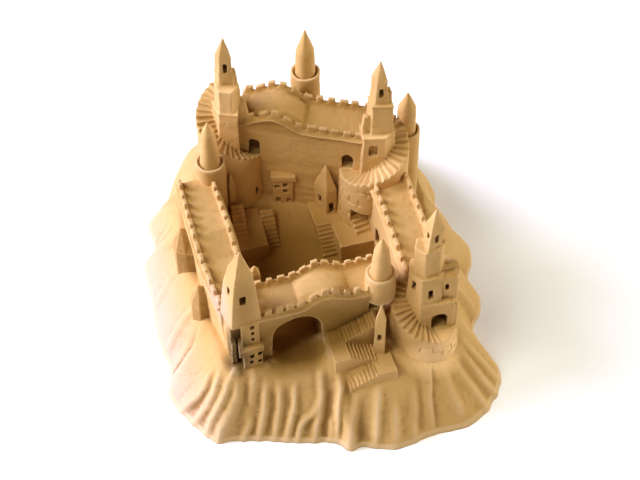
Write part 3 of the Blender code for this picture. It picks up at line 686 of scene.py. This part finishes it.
# Joints between stones on a drum: grooves exp(-(d / w)^2) along level lines and along upright ones,
# staggered from course to course, that fade in and out with a slow noise.
def jointPattern(drum, seed):
    x, y = drum["middle"]
    course, stone, low, high, deep = drum["joints"]

    def extra(points, normals):
        across, back, z = points[:, 0] - x, points[:, 1] - y, points[:, 2]
        wander = joints["wander"] * smoothNoise(points, joints["wanderWidth"], seed + 3)
        row = (z + wander - low) / course
        level = np.abs(row - np.round(row)) * course
        stagger = 0.5 * (np.floor(row) % 2) + 0.13 * np.sin(3.7 * np.floor(row))
        run = np.arctan2(back, across) * drum["radius"] / stone + stagger + wander / stone
        upright = np.abs(run - np.round(run)) * stone
        groove = np.exp(-(np.minimum(level, upright) / joints["width"]) ** 2)
        shown = smoothStep(-0.45, 0.0, smoothNoise(points, joints["patches"], seed))
        outside = np.abs(np.hypot(across, back) - drum["radius"] - 0.002) < 0.0045
        face = outside & (np.abs(normals[:, 2]) < 0.6)
        return -deep * groove * shown * face * smoothStep(high + 0.001, high - 0.001, z)
    return extra


# A window or door: its outline carried into the wall, away from the bearing it faces.
def opening(place, facing, width, low, high, depth, arched=False):
    a = math.radians(facing)
    out, side = np.array([math.cos(a), math.sin(a)]), np.array([-math.sin(a), math.cos(a)])
    half = width / 2
    openings.append((np.array(place), out, side, half, low, high, depth))
    if arched:
        t = np.linspace(0, np.pi, 13)
        across = np.concatenate([[-half, half], half * np.cos(t)])
        up = np.concatenate([[low, low], high - half + half * np.sin(t)])
    else:
        across, up = np.array([-half, half, half, -half]), np.array([low, low, high, high])
    rings = []
    for reach in (-depth, 0.008):
        plan = np.array(place) + side * across[:, None] + out * reach
        rings.append(np.concatenate([plan, up[:, None]], axis=1))
    return ringShape(rings)


# Rings of equal corners about a middle: a square tower, a six-sided one or a round drum.
def cornerRings(storeys, corners, turn=0.0):
    angle = math.radians(turn) + 2 * np.pi * np.arange(corners) / corners
    return ringShape([np.stack([x + radius * np.cos(angle), y + radius * np.sin(angle), np.full(corners, z)],
                               axis=1) for z, x, y, radius in storeys])


# A square tower from storeys of height, middle, width and depth; skew is the angle between its sides.
def squareTower(storeys, turn=0.0, skew=90.0):
    a, b = math.radians(turn), math.radians(turn + skew)
    along, back = np.array([math.cos(a), math.sin(a)]), np.array([math.cos(b), math.sin(b)])
    signs = np.array([(-1, -1), (1, -1), (1, 1), (-1, 1)]) / 2
    rings = []
    for z, x, y, width, depth in storeys:
        width, depth = max(width, 0.0006), max(depth, 0.0006)
        plan = np.array([x, y]) + signs[:, :1] * width * along + signs[:, 1:] * depth * back
        rings.append(np.concatenate([plan, np.full((4, 1), z)], axis=1))
    return ringShape(rings)


def box(middle, size, low, high, turn=0.0, slope=0.0):
    return squareTower([(low, middle[0], middle[1], size[0], size[1]),
                        (high, middle[0], middle[1], size[0] - slope, size[1] - slope)], turn)


def slab(outline, low, high):
    plan = np.array(outline)
    return ringShape([np.concatenate([plan, np.full((len(plan), 1), z)], axis=1) for z in (low, high)])


def spireHouse(middle, size, low, eaves, apex, turn=0.0, skew=90.0):
    x, y = middle
    return squareTower([(low, x, y, size[0] + 0.002, size[1] + 0.002), (eaves, x, y, size[0], size[1]),
                        (apex, x, y, 0.0, 0.0)], turn, skew)


treads = {"turn": 11.5, "overlap": 1.06, "inner": 0.012, "windingLip": 0.0011, "lip": 0.0009,
          "windingSpread": (0.006, 0.00018), "spread": 0.00015}


# Winding steps: wedges side by side, each one step higher and running down into the drum.
def windingSteps(drum, seed):
    rng = np.random.default_rng(seed)
    turn = math.radians(treads["turn"])
    k = np.arange(drum["steps"])
    x, y = drum["middle"]
    slip, uneven = treads["windingSpread"]
    first = math.radians(drum["start"]) + drum["sense"] * (k + 1.5) * turn + rng.normal(0, slip, len(k))
    last = first + drum["sense"] * turn * treads["overlap"]
    top = drum["landing"] + (k + 1) * drum["rise"] + rng.normal(0, uneven, len(k))
    low = np.full(len(k), drum["landing"] - 0.06)
    inner, outer = treads["inner"], drum["radius"] + 0.0006

    def corner(radius, angle, z):
        return np.stack([x + radius * np.cos(angle), y + radius * np.sin(angle), z], axis=1)
    lower = np.stack([corner(inner, first, low), corner(outer, first, low),
                      corner(outer, last, low), corner(inner, last, low)], axis=1)
    lip = treads["windingLip"]                                # each tread falls towards its back
    upper = np.stack([corner(inner, first, top + lip), corner(outer, first, top + lip),
                      corner(outer, last, top - lip), corner(inner, last, top - lip)], axis=1)
    return blockShape(lower, upper)


def drumShapes(drum, seed):
    x, y = drum["middle"]
    body = cornerRings([(castle["root"] - 0.01, x, y, drum["radius"] + 0.006),
                        (drum["landing"], x, y, drum["radius"])], 72)
    return [body, windingSteps(drum, seed)]


# Straight steps: blocks side by side along a line, going up or down from low to high.
def flight(start, end, width, low, high, count):
    rng = np.random.default_rng(1)
    start, end = np.array(start), np.array(end)
    length = np.linalg.norm(end - start)
    along = (end - start) / length
    left = np.array([-along[1], along[0]])
    k = np.arange(count)
    top = low + (high - low) * (k + (high > low)) / count + rng.normal(0, treads["spread"], count)
    first = length * k / count - 0.0003
    last = length * (k + 1) / count + 0.0003
    bottom = np.full(count, castle["root"] - 0.006)

    def corner(s, offset, z):
        plan = start + along * s[:, None] + left * offset
        return np.concatenate([plan, z[:, None]], axis=1)
    lower = np.stack([corner(first, 0, bottom), corner(last, 0, bottom), corner(last, width, bottom),
                      corner(first, width, bottom)], axis=1)
    lip = treads["lip"] if high > low else -treads["lip"]
    upper = np.stack([corner(first, 0, top + lip), corner(last, 0, top - lip), corner(last, width, top - lip),
                      corner(first, width, top + lip)], axis=1)
    return blockShape(lower, upper)


gate = {"middle": -0.081, "width": 0.064, "spring": 0.116, "top": 0.146, "floor": 0.058,
        "run": (-0.205, -0.11)}


def gateHollow():
    half = gate["width"] / 2
    t = np.linspace(0, np.pi, 25)
    across = np.concatenate([[-half - 0.003, half + 0.003], half * np.cos(t)])
    up = np.concatenate([[gate["floor"]] * 2, gate["spring"] + (gate["top"] - gate["spring"]) * np.sin(t)])
    return ringShape([np.stack([gate["middle"] + across, np.full_like(across, y), up], axis=1)
                      for y in gate["run"]])


carve("frontWall", wallShapes(frontWall, 11),
      [gateHollow(), opening((0.02, -0.1785), -90, 0.014, 0.1262, 0.144, 0.01, True)],
      frontWall["voxel"], 21)
carve("backWall", wallShapes(backWall, 13),
      [opening((-0.0682, 0.08), -117.8, 0.015, 0.1705, 0.199, 0.012, True),
       opening((0.0435, 0.0212), -117.8, 0.015, 0.1715, 0.196, 0.012, True)],
      backWall["voxel"], 22, extra=strata)
# The left wall's outer parapet runs on down past the front left tower as a low wall of its own.
ribLine = np.array([(-0.1795, -0.085, 0.1745), (-0.1765, -0.106, 0.169), (-0.1722, -0.129, 0.152),
                    (-0.169, -0.152, 0.1375), (-0.167, -0.174, 0.124), (-0.1665, -0.18, 0.118)])
x, y, z = ribLine.T
low = np.full(6, castle["root"])
ribSection = ((-0.001, low), (0, z - 0.001), (0.001, z), (0.0055, z), (0.0065, z - 0.001), (0.0065, low))
rib = ringShape(np.stack([np.stack([x + offset, y, up], axis=1) for offset, up in ribSection], axis=1))
backing = slab([(-0.169, -0.15), (-0.166, -0.1735), (-0.144, -0.1665), (-0.144, -0.14)], 0.056, 0.156)
carve("leftWall", wallShapes(leftWall, 15) + [rib, backing], [], leftWall["voxel"], 23)
carve("rightWall", wallShapes(rightWall, 17),
      [opening((0.064, -0.056), 180, 0.018, 0.0935, 0.124, 0.012, True)], rightWall["voxel"], 24)


# Towers whose storeys are set back one behind the other. Each storey is, in millimetres, height and
# plan corners of its foot, then of its top; a storey with a lip carries a narrow cornice. Joints
# are course height, stone length, lowest and highest level, and depth.
backRight = {
    "middle": (0.078, 0.015), "landing": 0.17, "radius": 0.0455, "rise": 0.0034, "start": -178.0, "sense": 1,
    "steps": 20, "voxel": 0.00105, "joints": (0.0125, 0.0145, 0.09, 0.167, 0.0013),
    "storeys": metres([
        (150, [(55, 0), (84, -7), (105, 5.5), (106, 37), (60, 33)],
         241.5, [(59.2, 2.6), (86.6, -3.4), (103, 6.2), (103, 35), (61.5, 30)]),
        (236, [(70.4, 6.6), (99.2, 1.2), (101, 30), (70, 32)],
         289, [(72, 10.5), (98.2, 4), (99.5, 29), (71.5, 31)]),
        (280, [(74.6, 12.2), (92.6, 9), (92.5, 29), (72.8, 30)],
         332, [(78.2, 14), (90.7, 9.2), (91.5, 25.5), (74.2, 26.2)])]),
    "apex": (0.0836, 0.019, 0.362), "lips": (0, 1)}
backLeft = {
    "middle": (-0.096, 0.102), "landing": 0.17, "radius": 0.0425, "rise": 0.0045, "start": -24.0, "sense": -1,
    "steps": 20, "voxel": 0.00105,
    "storeys": metres([
        (140, [(-114.5, 86), (-88, 75), (-82, 108), (-116, 113)],
         253.5, [(-112, 86), (-88.4, 76.6), (-83, 105), (-115, 111)]),
        (248, [(-110.8, 86.2), (-95.8, 80.2), (-80, 90), (-82, 112), (-112.5, 111)],
         291.5, [(-109.3, 88.5), (-94.2, 81.6), (-80.2, 92.1), (-83, 111), (-110.5, 111)]),
        (280, [(-106.4, 100), (-88.4, 96.2), (-87, 114), (-109.2, 115)],
         341, [(-103.8, 98.4), (-88.8, 93.2), (-88, 106), (-107.6, 108)])]),
    "apex": (-0.0972, 0.0992, 0.374), "lips": (0,)}
frontRight = {
    "middle": (0.082, -0.194), "landing": 0.101, "radius": 0.043, "rise": 0.004, "start": -62.0, "sense": -1,
    "steps": 24, "voxel": 0.001, "joints": (0.0135, 0.0165, 0.0595, 0.0985, 0.0016),
    "storeys": metres([
        (90, [(53.5, -190), (69.5, -215), (100, -213), (113, -190), (100, -160), (66, -158)],
         191.5, [(62.4, -182.9), (73.2, -200.6), (98, -201.8), (108, -185), (98, -165), (71, -163)]),
        (186, [(66.8, -185), (77.4, -198.5), (98.1, -196), (107, -184), (100, -170), (73.5, -170)],
         240, [(67.8, -184.6), (77, -198.2), (98, -193), (106, -184), (99, -171), (73.8, -171.8)]),
        (236, [(78.5, -197.2), (98.5, -189.5), (98.5, -173), (79.5, -175.5)],
         269, [(81.5, -195.7), (103.8, -186.8), (101, -169), (79.8, -174.2)])]),
    "apex": (0.0887, -0.189, 0.313), "lips": (0, 1)}
frontLeft = {"storeys": [(0.156, -0.149, -0.166, 0.04, 0.033), (0.224, -0.149, -0.1695, 0.03, 0.029),
                         (0.255, -0.1475, -0.17, 0.022, 0.022), (0.292, -0.147, -0.171, 0.0, 0.0)],
             "voxel": 0.0009}


def cornerRing(corners, z, grow=0.0):
    plan = np.array(corners)
    middle = plan.mean(axis=0)
    away = plan - middle
    plan = plan + away / np.linalg.norm(away, axis=1)[:, None] * grow
    return np.concatenate([plan, np.full((len(plan), 1), z)], axis=1)


def towerShapes(tower):
    shapes = []
    for k, (low, foot, high, head) in enumerate(tower["storeys"]):
        rings = [cornerRing(foot, low), cornerRing(head, high)]
        if k == len(tower["storeys"]) - 1:
            x, y, z = tower["apex"]
            rings.append(np.array([[x, y, z]]) + 0.0003 * (rings[1] - rings[1].mean(axis=0)) / 0.01)
        shapes.append(ringShape(rings))
        if k in tower["lips"]:
            shapes.append(ringShape([cornerRing(head, high - 0.0022, 0.001),
                                     cornerRing(head, high + 0.0012, 0.0012)]))
    return shapes


# the room over the courtyard's carved steps, its floor rising with them
roomSide = np.array([(-0.036, 0.089), (0.005, 0.1115), (0.005, 0.125), (-0.036, 0.125)])
stairRoom = ringShape([np.column_stack([np.full(4, x), roomSide]) for x in (0.0395, 0.0655)])
carve("backRightTower",
      drumShapes(backRight, 31) + towerShapes(backRight)
      + [box((0.096, 0.017), (0.0075, 0.015), 0.27, 0.309, 0, 0.004),
         box((0.066, 0.0175), (0.013, 0.014), 0.236, 0.269, -10, 0.007)],
      [stairRoom, opening((0.0717, 0.0), -100, 0.011, 0.21, 0.229, 0.014, True),
       opening((0.0835, 0.011), -100, 0.005, 0.302, 0.317, 0.007)],
      backRight["voxel"], 31, extra=jointPattern(backRight, 61))
carve("backLeftTower",
      drumShapes(backLeft, 33) + towerShapes(backLeft)
      + [box((-0.085, 0.099), (0.0085, 0.014), 0.27, 0.315, 0, 0.005),
         box((-0.08, 0.092), (0.02, 0.014), 0.236, 0.272, -12, 0.012)],
      [opening((-0.0972, 0.0965), -100, 0.0046, 0.313, 0.329, 0.008),
       opening((-0.07, 0.066), -58, 0.006, 0.106, 0.12, 0.008)],
      backLeft["voxel"], 33)
carve("frontRightTower",
      drumShapes(frontRight, 35) + towerShapes(frontRight)
      + [slab([(0.075, -0.2085), (0.1155, -0.2135), (0.118, -0.185), (0.085, -0.18)], 0.085, 0.15),
         slab([(0.0975, -0.201), (0.1197, -0.2068), (0.121, -0.178), (0.098, -0.172)], 0.085, 0.19),
         box((0.119, -0.208), (0.005, 0.008), 0.085, 0.14, -12, 0.002)],
      [opening((0.0968, -0.2125), -93, 0.0205, 0.1022, 0.128, 0.016, True),
       opening((0.064, -0.193), -151, 0.0052, 0.168, 0.182, 0.012),
       opening((0.085, -0.203), -90, 0.0072, 0.158, 0.173, 0.013),
       opening((0.106, -0.2045), -103, 0.004, 0.166, 0.177, 0.01),
       opening((0.08, -0.187), 180, 0.0046, 0.256, 0.268, 0.006),
       opening((0.0915, -0.193), -76, 0.0056, 0.251, 0.264, 0.0045)],
      frontRight["voxel"], 35, extra=jointPattern(frontRight, 62))

gateHouse = [
    slab([(-0.154, -0.185), (-0.131, -0.185), (-0.131, -0.15), (-0.15, -0.15)], 0.056, 0.1625),
    slab([(-0.1605, -0.195), (-0.127, -0.19), (-0.127, -0.16), (-0.156, -0.17)], 0.11, 0.12),
    slab([(-0.154, -0.1915), (-0.129, -0.19), (-0.129, -0.155), (-0.152, -0.155)], 0.056, 0.111)]
carve("frontLeftTower", [squareTower(frontLeft["storeys"], 3, 99)] + gateHouse,
      [opening((-0.149, -0.184), -87, 0.008, 0.203, 0.219, 0.013),
       opening((-0.166, -0.172), -170, 0.0056, 0.214, 0.228, 0.009)]
      + [opening((-0.1395, -0.185), -90, 0.005, z, z + 0.0066, 0.009) for z in (0.127, 0.139, 0.151)]
      + [opening((x, -0.191), -90, 0.0054, z, z + 0.007, 0.009) for x, z in
         ((-0.143, 0.099), (-0.144, 0.087), (-0.1325, 0.101), (-0.133, 0.085))],
      frontLeft["voxel"], 37)


turrets = {
    "backRightTurret": {"middle": (0.13, 0.04), "foot": 0.06, "rim": 0.203, "drum": 0.0188,
                        "shaft": 0.013, "neck": 0.0122, "eaves": 0.244, "apex": 0.272},
    "backMiddleTurret": {"middle": (0.018, 0.134), "foot": 0.06, "rim": 0.252, "drum": 0.0195,
                         "shaft": 0.0135, "neck": 0.0122, "eaves": 0.29, "apex": 0.325},
    "leftTurret": {"middle": (-0.133, 0.056), "foot": 0.06, "rim": 0.202, "drum": 0.0195,
                   "shaft": 0.0135, "neck": 0.008, "eaves": 0.258, "apex": 0.275},
    "frontTurret": {"middle": (0.03, -0.169), "foot": 0.1445, "rim": 0.187, "drum": 0.0187,
                    "shaft": 0.0138, "neck": 0.0095, "eaves": 0.23, "apex": 0.254, "groove": 0.0008},
}


turning = {"step": 0.0015, "corners": 80, "threeSided": 0.012, "fiveSided": 0.008, "groove": 0.0032}


# A turned shape: the profile, read every 1.5 mm and softened, goes round the turret's axis.
def turretShape(turret):
    drum, rim, shaft, neck = turret["drum"], turret["rim"], turret["shaft"], turret["neck"]
    groove = turret.get("groove", turning["groove"])
    profile = np.array([(drum + 0.0015, turret["foot"]), (drum, rim), (drum - 0.0034, rim + 0.0004),
                        (drum - 0.004, rim - groove), (shaft + 0.0004, rim - groove), (shaft, rim + 0.0006),
                        (neck, turret["eaves"]), (0.0004, turret["apex"])])
    run = np.concatenate([[0], np.cumsum(np.linalg.norm(np.diff(profile, axis=0), axis=1))])
    s = np.linspace(0, run[-1], int(run[-1] / turning["step"]))
    line = np.stack([np.interp(s, run, profile[:, k]) for k in (0, 1)], axis=1)
    soft = line.copy()
    soft[1:-1] = 0.25 * line[:-2] + 0.5 * line[1:-1] + 0.25 * line[2:]
    angle = 2 * np.pi * np.arange(turning["corners"]) / turning["corners"]
    wobble = 1 + turning["threeSided"] * np.sin(3 * angle + 1) + turning["fiveSided"] * np.sin(5 * angle)
    x = turret["middle"][0] + soft[:, :1] * wobble * np.cos(angle)
    y = turret["middle"][1] + soft[:, :1] * wobble * np.sin(angle)
    z = soft[:, 1:] * np.ones(turning["corners"])
    return ringShape(np.stack([x, y, z], axis=2))


for seed, (name, turret) in enumerate(turrets.items()):
    turretMesh = meshFromShape(name, turretShape(turret))
    wear(turretMesh, 41 + seed)
    addPiece(name, turretMesh)


platform, leftPlatform = castle["platform"], castle["leftPlatform"]
courtyard = [
    flight((0.015, -0.033), (0.015, 0.004), 0.02, 0.063, platform, 8),
    flight((-0.0565, -0.004), (-0.055, 0.042), 0.019, 0.07, 0.1, 9),
    flight((-0.0985, 0.01), (-0.096, 0.043), 0.017, leftPlatform, 0.121, 7),
    flight((0.064, -0.026), (0.06, 0.004), 0.022, platform, 0.113, 5),
    slab([(-0.006, 0.0035), (0.016, 0.0035), (0.016, -0.045), (0.076, -0.045), (0.076, 0.04),
          (-0.006, 0.06)], 0.05, platform),
    slab([(-0.132, -0.016), (-0.076, -0.016), (-0.073, 0.05), (-0.132, 0.06)], 0.05, leftPlatform),
    spireHouse((0.0162, 0.029), (0.016, 0.026), 0.056, 0.136, 0.18, 5, 108),
    box((-0.034, 0.065), (0.027, 0.021), 0.056, 0.135, -14),
    box((-0.0335, 0.064), (0.034, 0.023), 0.1335, 0.1435, -14),
    spireHouse((-0.108, 0.054), (0.009, 0.01), 0.056, 0.152, 0.176, 10),
]
courtyardHollows = ([opening((-0.0335, 0.054), -104, 0.0058, z, z + 0.0078, 0.012) for z in (0.1205, 0.1085)]
                    + [opening((-0.0432, 0.0562), -104, 0.0062, 0.091, 0.1, 0.012),
                       opening((-0.029, 0.0525), -104, 0.0062, 0.0895, 0.0985, 0.012),
                       opening((-0.044, 0.0564), -104, 0.008, 0.119, 0.125, 0.012),
                       opening((0.0075, 0.029), -170, 0.0062, 0.104, 0.119, 0.009),
                       opening((0.0215, 0.0165), -72, 0.007, 0.0935, 0.112, 0.007)])
carve("courtyard", courtyard, courtyardHollows, 0.001, 51)

gateStairs = [
    flight((0.02, -0.1785), (-0.028, -0.1785), 0.024, 0.126, 0.102, 11),
    flight((0.01, -0.2022), (-0.029, -0.2022), 0.025, 0.084, 0.101, 8),
    flight((0.008, -0.2268), (-0.031, -0.2268), 0.023, 0.084, 0.066, 8),
    box((-0.0365, -0.203), (0.018, 0.049), 0.05, 0.1015),
    box((0.019, -0.226), (0.024, 0.047), 0.05, 0.0845),
    spireHouse((0.0172, -0.2135), (0.013, 0.009), 0.056, 0.148, 0.182, -24),
]
carve("gateStairs", gateStairs, [opening((0.015, -0.218), -114, 0.0045, 0.112, 0.124, 0.004)], 0.0008, 52)


# A house set cornerwise against the wall: walls up to the eaves, then a ridge running back to it.
def slopeHouse(corners, low, eaves, front, back):
    plan = np.array(corners)
    ridge = np.array([front, front, back, back, front])
    lower = np.column_stack([plan + (plan - plan.mean(axis=0)) * 0.06, np.full(5, low)])
    upper = np.column_stack([plan, np.full(5, eaves)])
    return ringShape([lower, upper, upper + 0.97 * (ridge - upper)])


houses = [
    slopeHouse([(-0.2, -0.01), (-0.1885, -0.0185), (-0.17, -0.025), (-0.17, 0.014), (-0.199, 0.012)],
               0.05, 0.115, (-0.1895, 0.003, 0.147), (-0.174, 0.0015, 0.142)),
    slopeHouse([(-0.1985, -0.088), (-0.19, -0.0995), (-0.173, -0.099), (-0.173, -0.072), (-0.196, -0.073)],
               0.05, 0.099, (-0.1868, -0.085, 0.135), (-0.175, -0.088, 0.13)),
    spireHouse((-0.119, -0.118), (0.013, 0.012), 0.056, 0.177, 0.19),
]
# painted shade over the houses, added to their hollow mark
carve("houses", houses, [], 0.001, 53, paintedShade=0.6)


stage = {"floor": 3.0, "below": 0.0002, "colour": (0.92, 0.92, 0.92, 1), "roughness": 0.9, "glow": 0.12,
         "haze": 0.02}
# Soft suns: bearing from +X and height in degrees, strength, colour, and width in degrees.
lights = {
    "keyLight": (155.0, 25.0, 4.1, (0.79, 0.79, 1.14), 34.0),
    "topLight": (192.0, 52.0, 1.55, (1.0, 0.97, 0.84), 34.0),
    "fillLight": (6.0, 20.0, 2.15, (1.0, 0.95, 0.86), 50.0),
    "frontLight": (288.0, 20.0, 0.2, (1.0, 0.82, 0.55), 50.0),
}
backSpot = {"bearing": 258.0, "height": 24.0, "distance": 1.2, "aim": (0.01, 0.05, 0.29), "power": 10.0,
            "cone": 20.0, "blend": 0.9, "size": 0.12, "colour": (1.0, 0.95, 0.85)}


def addStage():
    half = stage["floor"] / 2
    grid = np.linspace(-half, half, 5)
    x, y = np.meshgrid(grid, grid)
    points = np.stack([x.ravel(), y.ravel(), np.full(25, -stage["below"])], axis=1)
    i = (np.arange(4)[:, None] * 5 + np.arange(4)).ravel()
    mesh = meshFromShape("floor", (points, [np.stack([i, i + 1, i + 6, i + 5], axis=1)]))
    floor = addObject("floor", mesh)
    material = bpy.data.materials.new("paleFloor")
    material.use_nodes = True
    shader = material.node_tree.nodes["Principled BSDF"]
    shader.inputs["Base Color"].default_value = stage["colour"]
    shader.inputs["Roughness"].default_value = stage["roughness"]
    shader.inputs["Emission Color"].default_value = (1.0, 1.0, 1.0, 1)
    shader.inputs["Emission Strength"].default_value = stage["glow"]
    mesh.materials.append(material)


def addLamp(name, kind, aim, bearing, height, distance, colour):
    a, e = math.radians(bearing), math.radians(height)
    lamp = bpy.data.lights.new(name, kind)
    lamp.color = colour
    light = addObject(name, lamp)
    towards = Vector((math.cos(a) * math.cos(e), math.sin(a) * math.cos(e), math.sin(e)))
    light.location = Vector(aim) + towards * distance
    light.rotation_euler = (-towards).to_track_quat("-Z", "Y").to_euler()
    return lamp


def addLights():
    for name, (bearing, height, strength, colour, width) in lights.items():
        sun = addLamp(name, "SUN", (0, 0, 0), bearing, height, 1.5, colour)
        sun.energy, sun.angle = strength, math.radians(width)
    spot = addLamp("backSpot", "SPOT", backSpot["aim"], backSpot["bearing"], backSpot["height"],
                   backSpot["distance"], backSpot["colour"])
    spot.energy, spot.shadow_soft_size = backSpot["power"], backSpot["size"]
    spot.spot_size, spot.spot_blend = math.radians(backSpot["cone"]), backSpot["blend"]


# A white studio as the camera sees it, but one that adds only a trace of light of its own.
def addWorld():
    world = bpy.data.worlds.new("studio")
    world.use_nodes = True
    nodes, links = world.node_tree.nodes, world.node_tree.links
    seen, trace = nodes["Background"], nodes.new("ShaderNodeBackground")
    seen.inputs["Color"].default_value = (1.0, 1.0, 1.0, 1)
    trace.inputs["Color"].default_value = (1.0, 1.0, 1.0, 1)
    trace.inputs["Strength"].default_value = stage["haze"]
    mix, path = nodes.new("ShaderNodeMixShader"), nodes.new("ShaderNodeLightPath")
    links.new(path.outputs["Is Camera Ray"], mix.inputs[0])
    links.new(trace.outputs[0], mix.inputs[1])
    links.new(seen.outputs[0], mix.inputs[2])
    links.new(mix.outputs[0], nodes["World Output"].inputs["Surface"])
    bpy.context.scene.world = world


view = {"azimuth": -16.0, "elevation": 51.0, "distance": 2.055, "aim": (0.0, 0.0, 0.06),
        "focal": 84.375, "sensor": 36.0}


def addCamera():
    a, e = math.radians(view["azimuth"]), math.radians(view["elevation"])
    back = Vector((math.sin(a) * math.cos(e), -math.cos(a) * math.cos(e), math.sin(e)))
    aim = Vector(view["aim"]) + Vector(castle["shift"])
    data = bpy.data.cameras.new("camera")
    data.lens, data.sensor_width = view["focal"], view["sensor"]
    camera = addObject("camera", data)
    camera.location = aim + back * view["distance"]
    camera.rotation_euler = (-back).to_track_quat("-Z", "Y").to_euler()
    bpy.context.scene.camera = camera


addStage()
addLights()
addWorld()
addCamera()
print("floor, lights and camera placed")
bpy.context.scene.view_settings.view_transform = "Standard"
bpy.context.scene.view_settings.look = "Medium High Contrast"
